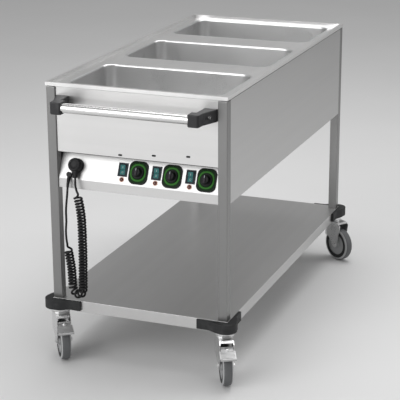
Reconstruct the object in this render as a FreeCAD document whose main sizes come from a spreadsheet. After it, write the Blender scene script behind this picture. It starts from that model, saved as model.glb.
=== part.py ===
"""Mobile three-well food warmer: a steel cabinet on four legs, a lower shelf and four castors.

Millimetres, +Z up, floor at z = 0. The origin lies on the floor under the middle of the trolley.
The handle and the controls are on the front, at -Y. X runs across the trolley.
"""
import FreeCAD, Part
import math
import os

import Sketcher
from FreeCAD import Placement, Rotation, Vector

doc = FreeCAD.newDocument("FoodTrolley")

# ---------------------------------------------------------------- driving dimensions

SIZES = {
    # overall
    "trolley_width": 600,
    "trolley_length": 1240,
    "trolley_height": 912,
    "sheet_gauge": 1.5,
    # legs and cabinet
    "leg_side": 30,
    "leg_wall": 1.5,
    "leg_inset": 2,
    "leg_bottom": 162.5,
    "cabinet_bottom": 575,
    "front_recess": 7,
    "panel_gap": 0.3,
    "side_return": 15,
    "end_return": 40,
    # top deck and wells
    "rim_height": 11.5,
    "rim_width": 11,
    "deck_drop": 13,
    "well_long": 509,
    "well_short": 299,
    "well_depth": 165,
    "well_corner": 38,
    "well_lip": 6,
    "well_floor_round": 12,
    "well_flange": 8,
    "well_pitch": 426,
    "well_shift": 15,
    "heater_long": 340,
    "heater_short": 210,
    "heater_thick": 6,
    "stud_radius": 4,
    "stud_height": 22,
    # control panel
    "skirt_top": 605,
    "panel_climb": 86,
    "panel_tilt": 25.3,
    "control_pitch": 112.5,
    "knob_shift": 111,
    "knob_rise": 41.5,
    "switch_offset": 52.5,
    "switch_rise": 46.5,
    "lamp_rise": 15.5,
    "bezel_width": 63,
    "bezel_height": 73,
    "bezel_corner": 20,
    "bezel_thick": 4,
    "bezel_edge": 1.5,
    "bush_radius": 4.7,
    "panel_hole_gap": 0.3,
    "shaft_radius": 3,
    "shaft_fit": 0.05,
    "thermostat_side": 40,
    "thermostat_depth": 28,
    "knob_flange_radius": 18.5,
    "knob_flange_thick": 3,
    "knob_grip_radius": 14,
    "knob_grip_top": 12.5,
    "knob_grip_height": 15,
    "knob_bar_width": 7,
    "knob_bar_height": 3,
    "knob_gap": 0.5,
    "switch_frame_width": 31,
    "switch_frame_height": 43,
    "switch_frame_thick": 2.5,
    "switch_body_width": 24,
    "switch_body_height": 37.4,
    "switch_body_depth": 24,
    "switch_well_depth": 12,
    "rocker_width": 19.6,
    "rocker_height": 32.4,
    "rocker_rise": 4.6,
    "rocker_dish": 2.2,
    "rocker_drop": 6.5,
    "rocker_swing": 8,
    "rocker_gap": 0.4,
    "rocker_pin_radius": 1.5,
    "lamp_radius": 8,
    "lamp_lens_radius": 5.4,
    "lamp_barrel_radius": 4.6,
    "lamp_barrel_depth": 20,
    "lamp_rise_height": 2,
    "mark_level_left": 8.5,
    "mark_level_middle": 17.5,
    "mark_level_right": 25,
    "mark_width": 13,
    "mark_height": 5.5,
    "mark_thick": 1.2,
    "mark_stem": 5,
    # plug, holder and gland
    "plug_x": -211,
    "plug_rise": 43,
    "plug_turn": 10,
    "plug_radius": 22,
    "plug_thick": 22,
    "plug_round": 6,
    "plug_neck_length": 41,
    "plug_neck_start": 17,
    "plug_neck_end": 6.5,
    "plug_neck_level": 15,
    "pin_spread": 19,
    "pin_radius": 2.4,
    "pin_length": 19,
    "holder_radius": 23.5,
    "holder_thick": 5,
    "holder_barrel_radius": 20,
    "holder_depth": 24,
    "gland_x": -229,
    "gland_rise": 12,
    "gland_radius": 8,
    "gland_height": 14,
    "gland_outlet_radius": 5.5,
    "gland_outlet_length": 14,
    "gland_outlet_level": 8,
    "gland_barrel_radius": 5.5,
    "gland_nut_radius": 9,
    "gland_nut_thick": 5,
    "cord_diameter": 7,
    "curl_radius": 11.5,
    "curl_pitch": 10.5,
    "curl_close": 8.3,
    # lower shelf and bumpers
    "shelf_top": 200,
    "shelf_lip": 37,
    "leg_hole_gap": 0.2,
    "bumper_arm": 100,
    "bumper_thick": 10,
    "bumper_bottom": 171,
    "bumper_height": 34,
    "bumper_nose": 34,
    "bumper_nose_inset": 6,
    # handle
    "handle_radius": 15,
    "handle_wall": 1.5,
    "handle_stand": 77,
    "handle_drop": 59,
    "handle_reach": 236,
    "handle_fit": 0.1,
    "bracket_height": 38,
    "bracket_sleeve_in": 205,
    "bracket_sleeve_out": 242,
    "bracket_foot_in": 223,
    "bracket_foot_out": 266,
    "bracket_foot_thick": 9,
    "bracket_sleeve_half": 19,
    "bracket_round": 5,
    "screw_x": 252,
    "screw_head_radius": 5.5,
    "screw_head_length": 7,
    "screw_radius": 3,
    "screw_seat": 28,
    "screw_tail": 13,
    "screw_gap": 0.3,
    # castors
    "stem_cup_radius": 32,
    "stem_cup_thick": 5.5,
    "stem_side": 26.6,
    "stem_spigot": 45,
    "kingpin_radius": 6,
    "kingpin_nut_radius": 9,
    "kingpin_nut_thick": 6,
    "castor_gap": 0.3,
    "castor_fit": 0.05,
    "raceway_radius": 30,
    "raceway_thick": 6,
    "crown_radius": 29,
    "crown_thick": 5,
    "fork_width": 46,
    "fork_plate": 3,
    "fork_shoulder": 18,
    "fork_leg_start": 8,
    "fork_skirt": 52,
    "fork_back": 50,
    "fork_tip": 65,
    "fork_boss": 12,
    "castor_trail": 38,
    "wheel_radius": 62.5,
    "tyre_width": 32,
    "tyre_depth": 15.5,
    "tyre_flat": 12,
    "tyre_shoulder": 4,
    "tyre_chamfer": 5,
    "tyre_crown": 1,
    "tyre_draft": 1.5,
    "rim_plate": 7,
    "rim_span": 30,
    "web_thick": 24,
    "boss_radius": 15,
    "boss_length": 38,
    "axle_radius": 5,
    "axle_head_radius": 8,
    "axle_head_length": 5,
    "pedal_pivot_back": 56,
    "pedal_pivot_level": 129.5,
    "pedal_width": 38,
    "pedal_foot_width": 50,
    "pedal_foot_start": 14,
    "pedal_thick": 3,
    "pedal_reach": 46,
    "pedal_fall": 22,
    "pedal_lip": 4,
    "pedal_barrel_radius": 4,
    "pedal_pin_radius": 2.5,
    "castor_turn_front_left": 36,
    "castor_turn_front_right": 28,
    "castor_turn_rear_left": 22,
    "castor_turn_rear_right": 58,
}


class Size:
    """A length or angle: its value, and the text that ties it to the sheet."""

    def __init__(self, value, text):
        self.value = float(value)
        self.text = text

    @staticmethod
    def of(thing):
        return thing if isinstance(thing, Size) else Size(thing, f"({thing})")

    def _join(self, other, sign, value):
        return Size(value, f"({self.text} {sign} {other.text})")

    def __add__(self, other):
        other = Size.of(other)
        return self._join(other, "+", self.value + other.value)

    def __sub__(self, other):
        other = Size.of(other)
        return self._join(other, "-", self.value - other.value)

    def __mul__(self, other):
        other = Size.of(other)
        return self._join(other, "*", self.value * other.value)

    def __truediv__(self, other):
        other = Size.of(other)
        return self._join(other, "/", self.value / other.value)

    def __radd__(self, other):
        return Size.of(other) + self

    def __rsub__(self, other):
        return Size.of(other) - self

    def __rmul__(self, other):
        return Size.of(other) * self

    def __neg__(self):
        return Size(-self.value, f"(0 - {self.text})")


def sine(angle):
    return Size(math.sin(math.radians(angle.value)), f"sin({angle.text})")


def cosine(angle):
    return Size(math.cos(math.radians(angle.value)), f"cos({angle.text})")


def tangent(angle):
    return Size(math.tan(math.radians(angle.value)), f"tan({angle.text})")


class Sheet:
    """The sheet of driving dimensions; each one is an attribute."""

    def __init__(self, sizes):
        page = doc.addObject("Spreadsheet::Sheet", "Sizes")
        for row, (name, value) in enumerate(sizes.items(), 1):
            page.set(f"A{row}", name)
            page.set(f"B{row}", str(value))
            page.setAlias(f"B{row}", name)
            setattr(self, name, Size(value, f"Sizes.{name}"))


S = Sheet(SIZES)
doc.recompute()

# derived levels and places
HALF_WIDTH = S.trolley_width / 2
HALF_LENGTH = S.trolley_length / 2
DECK_TOP = S.trolley_height - S.deck_drop
DECK_UNDERSIDE = DECK_TOP - S.sheet_gauge
LEG_OUTER_X = HALF_WIDTH - S.leg_inset
LEG_OUTER_Y = HALF_LENGTH - S.leg_inset
LEG_INNER_X = LEG_OUTER_X - S.leg_side
LEG_INNER_Y = LEG_OUTER_Y - S.leg_side
LEG_CENTRE_X = LEG_OUTER_X - S.leg_side / 2
LEG_CENTRE_Y = LEG_OUTER_Y - S.leg_side / 2
PANEL_WIDTH = 2 * (LEG_INNER_X - S.panel_gap)
SIDE_LENGTH = 2 * (LEG_INNER_Y - S.panel_gap)
FRONT_FACE = S.front_recess - HALF_LENGTH
HANDLE_Y = FRONT_FACE - S.handle_stand
HANDLE_LEVEL = S.trolley_height - S.handle_drop
FRONT_BOTTOM = S.skirt_top + S.panel_climb
PANEL_TURN = 90 - S.panel_tilt
SIDES = {"left": -1, "right": 1}
ENDS = {"front": -1, "rear": 1}
PLACES = ("left", "middle", "right")

# ---------------------------------------------------------------- modelling helpers


def text(size):
    return Size.of(size).text


def value(size):
    return Size.of(size).value


def bind(item, name, size):
    item.setExpression(name, text(size))


def place(item, x=0, y=0, z=0, turn=None, axis=(0, 0, 1)):
    """Put an item at a point; turn is an angle about the axis, or a whole Rotation."""
    if isinstance(turn, Rotation):
        item.Placement = Placement(Vector(), turn)
    elif turn is not None:
        item.Placement = Placement(Vector(), Rotation(Vector(*axis), value(turn)))
        bind(item, "Placement.Rotation.Angle", turn)
    for name, size in zip("xyz", (x, y, z)):
        bind(item, f"Placement.Base.{name}", size)
    return item


def box(name, x_span, y_span, z_span):
    """A box between two sizes along each axis."""
    item = doc.addObject("Part::Box", name)
    for side, (low, high) in zip(("Length", "Width", "Height"), (x_span, y_span, z_span)):
        bind(item, side, Size.of(high) - low)
    return place(item, x_span[0], y_span[0], z_span[0])


def cylinder(name, radius, length, x=0, y=0, z=0, turn=None, axis=(1, 0, 0)):
    """A cylinder standing on the point, along +Z before it is turned."""
    item = doc.addObject("Part::Cylinder", name)
    bind(item, "Radius", radius)
    bind(item, "Height", length)
    return place(item, x, y, z, turn, axis)


def cone(name, low_radius, high_radius, length, x=0, y=0, z=0, turn=None, axis=(1, 0, 0)):
    item = doc.addObject("Part::Cone", name)
    bind(item, "Radius1", low_radius)
    bind(item, "Radius2", high_radius)
    bind(item, "Height", length)
    return place(item, x, y, z, turn, axis)


def fuse(name, *items):
    item = doc.addObject("Part::MultiFuse", name)
    item.Shapes = list(items)
    return item


def cut(name, base, *tools):
    item = doc.addObject("Part::Cut", name)
    item.Base = base
    item.Tool = tools[0] if len(tools) == 1 else fuse(f"{name}_tools", *tools)
    return item


def group(name, items):
    """Identical pieces that share one node as separate solids."""
    item = doc.addObject("Part::Compound", name)
    item.Links = list(items)
    return item


def ring(name, half_x, half_y, wall, low, high):
    """A rectangular ring of the given wall between two levels."""
    outer = box(f"{name}_outer", (-half_x, half_x), (-half_y, half_y), (low, high))
    inner_x = half_x - wall
    inner_y = half_y - wall
    inner = box(f"{name}_inner", (-inner_x, inner_x), (-inner_y, inner_y), (low - 1, high + 1))
    return cut(name, outer, inner)


def new_body(name):
    return doc.addObject("PartDesign::Body", name)


def new_sketch(body, name, role, offset=0):
    """A sketch on one of the body's own planes, moved along the plane's normal."""
    plane = next(item for item in body.Origin.OriginFeatures if item.Role == role)
    item = body.newObject("Sketcher::SketchObject", name)
    item.AttachmentSupport = [(plane, "")]
    item.MapMode = "FlatFace"
    bind(item, "AttachmentOffset.Base.z", offset)
    return item


def pin_point(sketch, line, end, point):
    """Tie one end of a line to its place in the sketch."""
    for kind, size in zip(("DistanceX", "DistanceY"), point):
        number = sketch.addConstraint(Sketcher.Constraint(kind, -1, 1, line, end, value(size)))
        bind(sketch, f"Constraints[{number}]", size)


def flat(point):
    return Vector(value(point[0]), value(point[1]), 0)


def outline(sketch, points):
    """A closed outline of straight lines through the points."""
    following = points[1:] + points[:1]
    for start, end in zip(points, following):
        sketch.addGeometry(Part.LineSegment(flat(start), flat(end)), False)
    count = len(points)
    for line in range(count):
        sketch.addConstraint(Sketcher.Constraint("Coincident", line, 2, (line + 1) % count, 1))
    for line, point in enumerate(points):
        pin_point(sketch, line, 1, point)
    return sketch


def rounded_rectangle(sketch, half_x, half_y, radius, centre_x=0, centre_y=0):
    """A rectangle with four round corners."""
    corners = ((1, -1), (1, 1), (-1, 1), (-1, -1))
    starts = []
    for number, (sign_x, sign_y) in enumerate(corners):
        turned = number % 2 == 1
        near = (sign_x * (half_x - radius), sign_y * half_y)
        far = (sign_x * half_x, sign_y * (half_y - radius))
        first, second = (far, near) if turned else (near, far)
        middle = Vector(value(sign_x * (half_x - radius)), value(sign_y * (half_y - radius)), 0)
        circle = Part.Circle(middle + flat((centre_x, centre_y)), Vector(0, 0, 1), value(radius))
        start_angle = math.radians(90 * (number - 1))
        arc = Part.ArcOfCircle(circle, start_angle, start_angle + math.pi / 2)
        index = sketch.addGeometry(arc, False)
        sketch.addConstraint(Sketcher.Constraint("Radius", index, value(radius)))
        bind(sketch, f"Constraints[{sketch.ConstraintCount - 1}]", radius)
        shift = lambda point: (point[0] + centre_x, point[1] + centre_y)
        starts.append((index, shift(first), shift(second)))
    for (_, _, tail), (_, head, _) in zip(starts, starts[1:] + starts[:1]):
        sketch.addGeometry(Part.LineSegment(flat(tail), flat(head)), False)
    for number, (arc, _, tail) in enumerate(starts):
        line = len(corners) + number
        following = starts[(number + 1) % len(corners)]
        sketch.addConstraint(Sketcher.Constraint("Coincident", arc, 2, line, 1))
        sketch.addConstraint(Sketcher.Constraint("Coincident", line, 2, following[0], 1))
        pin_point(sketch, line, 1, tail)
        pin_point(sketch, line, 2, following[1])
    return sketch


def pad(body, sketch, length, reverse=False, both=False):
    item = body.newObject("PartDesign::Pad", f"{sketch.Name}_pad")
    item.Profile = sketch
    item.Reversed = reverse
    item.SideType = "Symmetric" if both else "One side"
    bind(item, "Length", length)
    return item


def pocket(body, sketch, length, reverse=False, both=False):
    item = body.newObject("PartDesign::Pocket", f"{sketch.Name}_pocket")
    item.Profile = sketch
    item.Reversed = reverse
    item.SideType = "Symmetric" if both else "One side"
    bind(item, "Length", length)
    return item


def revolve(body, sketch):
    """A full turn of the sketch about its own horizontal axis."""
    item = body.newObject("PartDesign::Revolution", f"{sketch.Name}_turned")
    item.Profile = sketch
    item.ReferenceAxis = (sketch, ["H_Axis"])
    item.Angle = 360
    return item


def round_edges(body, feature, radius, test):
    """Round the edges of a feature that pass the test."""
    doc.recompute()
    edges = feature.Shape.Edges
    chosen = [f"Edge{number}" for number, edge in enumerate(edges, 1) if test(edge)]
    item = body.newObject("PartDesign::Fillet", f"{feature.Name}_round")
    item.Base = (feature, chosen)
    bind(item, "Radius", radius)
    return item


def at_level(level, margin=1e-4):
    """A test for edges that lie flat at a level."""
    height = value(level)
    return lambda edge: (abs(edge.BoundBox.ZMin - height) < margin
                         and abs(edge.BoundBox.ZMax - height) < margin)


def within(test, half_x, half_y, centre_y=0):
    """A test for edges that also stay inside a rectangle."""
    def check(edge):
        bounds = edge.BoundBox
        reach_x = max(abs(bounds.XMin), abs(bounds.XMax))
        reach_y = max(abs(bounds.YMin - value(centre_y)), abs(bounds.YMax - value(centre_y)))
        return test(edge) and reach_x < value(half_x) and reach_y < value(half_y)
    return check


def on_panel(item, x, rise, lift=0, spin=None, swing=None):
    """Lay an item on the inclined panel: rise runs up the slope, lift stands off it.

    The item's own Y runs up the slope and its own Z out of the panel.
    """
    lean_sine = sine(S.panel_tilt)
    lean_cosine = cosine(S.panel_tilt)
    y = FRONT_FACE + Size.of(rise) * lean_sine - Size.of(lift) * lean_cosine
    z = S.skirt_top + Size.of(rise) * lean_cosine + Size.of(lift) * lean_sine
    if spin is not None:
        turned = Rotation(Vector(1, 0, 0), value(PANEL_TURN)) * Rotation(Vector(0, 0, 1), value(spin))
        return place(item, x, y, z, turned)
    turn = PANEL_TURN if swing is None else PANEL_TURN + swing
    return place(item, x, y, z, turn, (1, 0, 0))


def control_x(number):
    """Where the knob of one of the three control sets stands."""
    return S.knob_shift + (number - 1) * S.control_pitch


# ---------------------------------------------------------------- cabinet


def well_centre(number):
    return S.well_shift + (number - 1) * S.well_pitch


def well_opening(name, number, spread):
    """A rounded block that reaches through the deck, spread wider than a well's mouth."""
    body = new_body(name)
    mouth = new_sketch(body, f"{name}_mouth", "XY_Plane", DECK_UNDERSIDE - 1)
    rounded_rectangle(mouth, S.well_long / 2 + spread, S.well_short / 2 + spread,
                      S.well_corner + spread)
    pad(body, mouth, S.deck_drop)
    return place(body, 0, well_centre(number), 0)


def top_deck():
    """A flat sheet open where the three wells are let in, and the hollow folded rim welded round it."""
    inner_x = HALF_WIDTH - S.rim_width
    inner_y = HALF_LENGTH - S.rim_width
    top = S.trolley_height
    rim_top = ring("rim_top", HALF_WIDTH, HALF_LENGTH, S.rim_width, top - S.sheet_gauge, top)
    apron = ring("rim_apron", HALF_WIDTH, HALF_LENGTH, S.sheet_gauge, top - S.rim_height, top)
    step = ring("rim_step", inner_x + S.sheet_gauge, inner_y + S.sheet_gauge, S.sheet_gauge,
                DECK_UNDERSIDE, top)
    plate = box("deck_plate", (-inner_x, inner_x), (-inner_y, inner_y), (DECK_UNDERSIDE, DECK_TOP))
    openings = [well_opening(f"deck_opening_{number}", number, S.well_flange) for number in range(3)]
    return group("top_deck", [cut("deck_sheet", plate, *openings),
                              fuse("deck_rim", rim_top, apron, step)])


def well(name, number):
    """A deep-drawn pan: flange level with the deck, rolled lip, round corners and floor."""
    half_x = S.well_long / 2
    half_y = S.well_short / 2
    wall = S.sheet_gauge
    body = new_body(name)
    flange = new_sketch(body, f"{name}_flange", "XY_Plane", DECK_TOP)
    rounded_rectangle(flange, half_x + S.well_flange, half_y + S.well_flange,
                      S.well_corner + S.well_flange)
    pad(body, flange, wall, reverse=True)
    outside = new_sketch(body, f"{name}_outside", "XY_Plane", DECK_TOP)
    rounded_rectangle(outside, half_x + wall, half_y + wall, S.well_corner + wall)
    pad(body, outside, S.well_depth + wall, reverse=True)
    inside = new_sketch(body, f"{name}_inside", "XY_Plane", DECK_TOP)
    rounded_rectangle(inside, half_x, half_y, S.well_corner)
    hollow = pocket(body, inside, S.well_depth)
    neck = round_edges(body, hollow, S.well_lip - wall,
                       within(at_level(DECK_UNDERSIDE), half_x + 2 * wall, half_y + 2 * wall))
    floor = round_edges(body, neck, S.well_floor_round, at_level(DECK_TOP - S.well_depth))
    bottom = round_edges(body, floor, S.well_floor_round + wall,
                         at_level(DECK_TOP - S.well_depth - wall))
    round_edges(body, bottom, S.well_lip, within(at_level(DECK_TOP), half_x + wall, half_y + wall))
    return place(body, 0, well_centre(number), 0)


def heater_plates():
    """Flat plate heaters against the undersides of the wells, each with two studs."""
    top = DECK_TOP - S.well_depth - S.sheet_gauge
    low = top - S.heater_thick
    plates = []
    for number in range(3):
        middle = well_centre(number)
        plate = box(f"heater_plate_{number}", (-S.heater_long / 2, S.heater_long / 2),
                    (middle - S.heater_short / 2, middle + S.heater_short / 2), (low, top))
        studs = [cylinder(f"heater_stud_{number}_{side}", S.stud_radius, S.stud_height,
                          sign * S.heater_long / 4, middle, low - S.stud_height)
                 for side, sign in SIDES.items()]
        plates.append(fuse(f"heater_{number}", plate, *studs))
    return group("heater_plates", plates)


def side_panel(name, sign):
    """A sheet between two legs with a return along its lower edge."""
    outer = sign * LEG_OUTER_X
    skin = sign * (LEG_OUTER_X - S.sheet_gauge)
    inner = sign * (LEG_OUTER_X - S.side_return)
    low = S.cabinet_bottom
    body = new_body(name)
    sketch = new_sketch(body, f"{name}_fold", "XZ_Plane")
    outline(sketch, [(outer, low), (outer, DECK_UNDERSIDE), (skin, DECK_UNDERSIDE),
                     (skin, low + S.sheet_gauge), (inner, low + S.sheet_gauge), (inner, low)])
    pad(body, sketch, SIDE_LENGTH, both=True)
    return body


def rear_panel():
    outer = LEG_OUTER_Y
    low = S.cabinet_bottom
    body = new_body("rear_panel")
    sketch = new_sketch(body, "rear_fold", "YZ_Plane")
    outline(sketch, [(outer, low), (outer, DECK_UNDERSIDE), (outer - S.sheet_gauge, DECK_UNDERSIDE),
                     (outer - S.sheet_gauge, low + S.sheet_gauge),
                     (outer - S.end_return, low + S.sheet_gauge), (outer - S.end_return, low)])
    pad(body, sketch, PANEL_WIDTH, both=True)
    return body


def mark_level(number):
    """The three oval marks climb a little from left to right, as the photograph shows them."""
    return FRONT_BOTTOM + (S.mark_level_left, S.mark_level_middle, S.mark_level_right)[number]


def oval_block(name, number, shrink, front, length):
    """An upright oval prism at one of the marks, from a front plane towards the back."""
    body = new_body(name)
    sketch = new_sketch(body, f"{name}_oval", "XZ_Plane", -Size.of(front))
    half_x = S.mark_width / 2 - shrink
    half_z = S.mark_height / 2 - shrink
    rounded_rectangle(sketch, half_x, half_z, half_z - 0.05)
    pad(body, sketch, length, reverse=True)
    return place(body, control_x(number) - S.switch_offset, 0, mark_level(number))


def panel_plugs():
    """Oval snap-in plugs in the front panel, one above each switch."""
    plugs = []
    for number in range(3):
        head = oval_block(f"mark_head_{number}", number, 0, FRONT_FACE - S.mark_thick, S.mark_thick)
        stem = oval_block(f"mark_stem_{number}", number, 1, FRONT_FACE - S.mark_thick / 2,
                          S.mark_thick / 2 + S.mark_stem)
        plugs.append(fuse(f"mark_{number}", head, stem))
    return group("panel_plugs", plugs)


def front_panel():
    """Sheet between the front legs, its lower edge returned to meet the inclined panel."""
    back = S.end_return + S.front_recess
    body = new_body("front_sheet")
    sketch = new_sketch(body, "front_fold", "YZ_Plane")
    gauge = S.sheet_gauge
    outline(sketch, [(FRONT_FACE, DECK_UNDERSIDE), (FRONT_FACE, FRONT_BOTTOM),
                     (FRONT_FACE + back, FRONT_BOTTOM),
                     (FRONT_FACE + back, FRONT_BOTTOM + gauge),
                     (FRONT_FACE + gauge, FRONT_BOTTOM + gauge),
                     (FRONT_FACE + gauge, DECK_UNDERSIDE)])
    pad(body, sketch, PANEL_WIDTH, both=True)
    holes = [oval_block(f"mark_hole_{number}", number, 0.9, FRONT_FACE - 1, 2 + gauge)
             for number in range(3)]
    holes += [cylinder(f"screw_hole_{side}", S.screw_radius + S.screw_gap, 2 + gauge,
                       sign * S.screw_x, FRONT_FACE + gauge + 1, HANDLE_LEVEL, Size.of(90))
              for side, sign in SIDES.items()]
    return cut("front_panel", body, *holes)


def control_panel():
    """Folded sheet: bottom return, upright skirt and the inclined face with its openings."""
    gauge = S.sheet_gauge
    low = S.cabinet_bottom
    top_y = FRONT_FACE + S.panel_climb * tangent(S.panel_tilt)
    body = new_body("control_sheet")
    sketch = new_sketch(body, "control_fold", "YZ_Plane")
    outline(sketch, [(FRONT_FACE, low), (FRONT_FACE + S.end_return, low),
                     (FRONT_FACE + S.end_return, low + gauge), (FRONT_FACE + gauge, low + gauge),
                     (FRONT_FACE + gauge, S.skirt_top - gauge * tangent(S.panel_tilt / 2)),
                     (top_y + gauge / cosine(S.panel_tilt), FRONT_BOTTOM),
                     (top_y, FRONT_BOTTOM), (FRONT_FACE, S.skirt_top)])
    pad(body, sketch, PANEL_WIDTH, both=True)
    through = 4 * gauge
    gap = S.panel_hole_gap
    tools = []
    for number, side in enumerate(PLACES):
        shaft = cylinder(f"shaft_hole_{side}", S.bush_radius + gap, through)
        tools.append(on_panel(shaft, control_x(number), S.knob_rise, -through / 2))
        half_x = S.switch_body_width / 2 + gap
        half_y = S.switch_body_height / 2 + gap
        window = switch_block(f"switch_hole_{side}", half_x, half_y, -through / 2, through / 2)
        tools.append(on_panel(window, control_x(number) - S.switch_offset, S.switch_rise))
        lamp = cylinder(f"lamp_hole_{side}", S.lamp_barrel_radius + gap, through)
        tools.append(on_panel(lamp, control_x(number) - S.switch_offset, S.lamp_rise, -through / 2))
    holder = cylinder("holder_hole", S.holder_barrel_radius + gap, through)
    tools.append(on_panel(holder, S.plug_x, S.plug_rise, -through / 2))
    gland = cylinder("gland_hole", S.gland_barrel_radius + gap, through)
    tools.append(on_panel(gland, S.gland_x, S.gland_rise, -through / 2))
    return cut("control_panel", body, *tools)


def bottom_cover():
    """Flat cover that lies on the returns of the four panels, between the legs."""
    half_x = LEG_OUTER_X - S.sheet_gauge - S.panel_gap
    half_y = LEG_INNER_Y - S.panel_gap
    low = S.cabinet_bottom + S.sheet_gauge
    return box("bottom_cover", (-half_x, half_x), (-half_y, half_y), (low, low + S.sheet_gauge))


def leg(name, sign_x, sign_y):
    """A square tube from the castor to the underside of the deck."""
    half = S.leg_side / 2
    bore = half - S.leg_wall
    outer = box(f"{name}_outside", (-half, half), (-half, half), (S.leg_bottom, DECK_UNDERSIDE))
    inner = box(f"{name}_bore", (-bore, bore), (-bore, bore), (S.leg_bottom - 1, DECK_UNDERSIDE + 1))
    return place(cut(name, outer, inner), sign_x * LEG_CENTRE_X, sign_y * LEG_CENTRE_Y, 0)


# ---------------------------------------------------------------- shelf and bumpers


def lower_shelf():
    """Tray with lips turned down, notched at the corners for the legs."""
    gauge = S.sheet_gauge
    plate = box("shelf_plate", (-HALF_WIDTH, HALF_WIDTH), (-HALF_LENGTH, HALF_LENGTH),
                (S.shelf_top - gauge, S.shelf_top))
    lips = ring("shelf_lips", HALF_WIDTH, HALF_LENGTH, gauge, S.shelf_top - S.shelf_lip, S.shelf_top)
    near_x = LEG_INNER_X - S.leg_hole_gap
    near_y = LEG_INNER_Y - S.leg_hole_gap
    notch_x = HALF_WIDTH - gauge - near_x
    notch_y = HALF_LENGTH - gauge - near_y
    notches = []
    for end, sign_y in ENDS.items():
        for side, sign_x in SIDES.items():
            notch = box(f"shelf_notch_{end}_{side}", (-notch_x / 2, notch_x / 2),
                        (-notch_y / 2, notch_y / 2), (S.shelf_top - 2 * gauge, S.shelf_top + gauge))
            notches.append(place(notch, sign_x * (near_x + notch_x / 2) - notch_x / 2,
                                 sign_y * (near_y + notch_y / 2) - notch_y / 2,
                                 S.shelf_top - 2 * gauge))
    return cut("lower_shelf", fuse("shelf_sheet", plate, lips), *notches)


def bumper(name, turn):
    """A moulded corner: two arms on the shelf lips and a round nose at the corner.

    Drawn for the rear right corner, which is the local origin, then turned in quarters.
    """
    low = S.bumper_bottom
    high = low + S.bumper_height
    thick = S.bumper_thick
    arm_x = box(f"{name}_arm_x", (-S.bumper_arm, 0), (0, thick), (low, high))
    arm_y = box(f"{name}_arm_y", (0, thick), (-S.bumper_arm, 0), (low, high))
    nose = cylinder(f"{name}_nose", S.bumper_nose, S.bumper_height,
                    -S.bumper_nose_inset, -S.bumper_nose_inset, low)
    corner = box(f"{name}_corner", (-2 * S.bumper_arm, 0), (-2 * S.bumper_arm, 0), (low - 1, high + 1))
    return cut(name, fuse(f"{name}_form", arm_x, arm_y, nose), corner), turn


def placed_bumper(end, side):
    """Put a bumper at its corner; its arms point back along the two lips."""
    turns = {("rear", "right"): 0, ("rear", "left"): 90, ("front", "left"): 180,
             ("front", "right"): 270}
    item, turn = bumper(f"bumper_{end}_{side}", turns[(end, side)])
    rotation = Rotation(Vector(0, 0, 1), turn)
    return place(item, SIDES[side] * HALF_WIDTH, ENDS[end] * HALF_LENGTH, 0, rotation)


# ---------------------------------------------------------------- handle


def handle_bar():
    reach = S.handle_reach
    outer = cylinder("handle_outside", S.handle_radius, 2 * reach, -reach, 0, 0, Size.of(90), (0, 1, 0))
    bore = cylinder("handle_bore", S.handle_radius - S.handle_wall, 2 * reach + 2, -reach - 1, 0, 0,
                    Size.of(90), (0, 1, 0))
    return place(cut("handle_bar", outer, bore), 0, HANDLE_Y, HANDLE_LEVEL)


def handle_bracket(name, sign):
    """A moulded arm from a foot on the front panel to a sleeve over the end of the tube."""
    half = S.bracket_sleeve_half
    foot_y = FRONT_FACE - S.bracket_foot_thick
    outer_y = HANDLE_Y - half
    inner_y = HANDLE_Y + half
    chamfer = S.bracket_round
    shape = [(S.bracket_foot_in, FRONT_FACE), (S.bracket_foot_out, FRONT_FACE),
             (S.bracket_foot_out, foot_y), (S.bracket_sleeve_out + 2, inner_y - chamfer),
             (S.bracket_sleeve_out, outer_y + chamfer), (S.bracket_sleeve_out - chamfer, outer_y),
             (S.bracket_sleeve_in + chamfer, outer_y), (S.bracket_sleeve_in, outer_y + chamfer),
             (S.bracket_sleeve_in, inner_y), (S.bracket_foot_in - 3, inner_y + 2),
             (S.bracket_foot_in, foot_y)]
    body = new_body(f"{name}_arm")
    sketch = new_sketch(body, f"{name}_plan", "XY_Plane", HANDLE_LEVEL)
    outline(sketch, [(sign * x, y) for x, y in shape])
    block = pad(body, sketch, S.bracket_height, both=True)
    long_edge = lambda edge: edge.BoundBox.YMax < value(FRONT_FACE) - 1 and edge.BoundBox.ZLength < 1
    round_edges(body, block, S.bracket_round / 2, long_edge)
    start = S.bracket_sleeve_in - 1
    bore_length = S.handle_reach + S.handle_fit - start
    bore_x = start if sign > 0 else -start - bore_length
    bore = cylinder(f"{name}_bore", S.handle_radius + S.handle_fit, bore_length, bore_x, HANDLE_Y,
                    HANDLE_LEVEL, Size.of(90), (0, 1, 0))
    seat_y = FRONT_FACE - S.screw_seat
    screw_way = cylinder(f"{name}_screw_way", S.screw_radius + S.screw_gap, S.screw_seat + 1,
                         sign * S.screw_x, FRONT_FACE + 1, HANDLE_LEVEL, Size.of(90))
    screw_seat = cylinder(f"{name}_screw_seat", S.screw_head_radius + S.screw_gap, S.handle_stand,
                          sign * S.screw_x, seat_y, HANDLE_LEVEL, Size.of(90))
    return cut(name, body, bore, screw_way, screw_seat)


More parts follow.
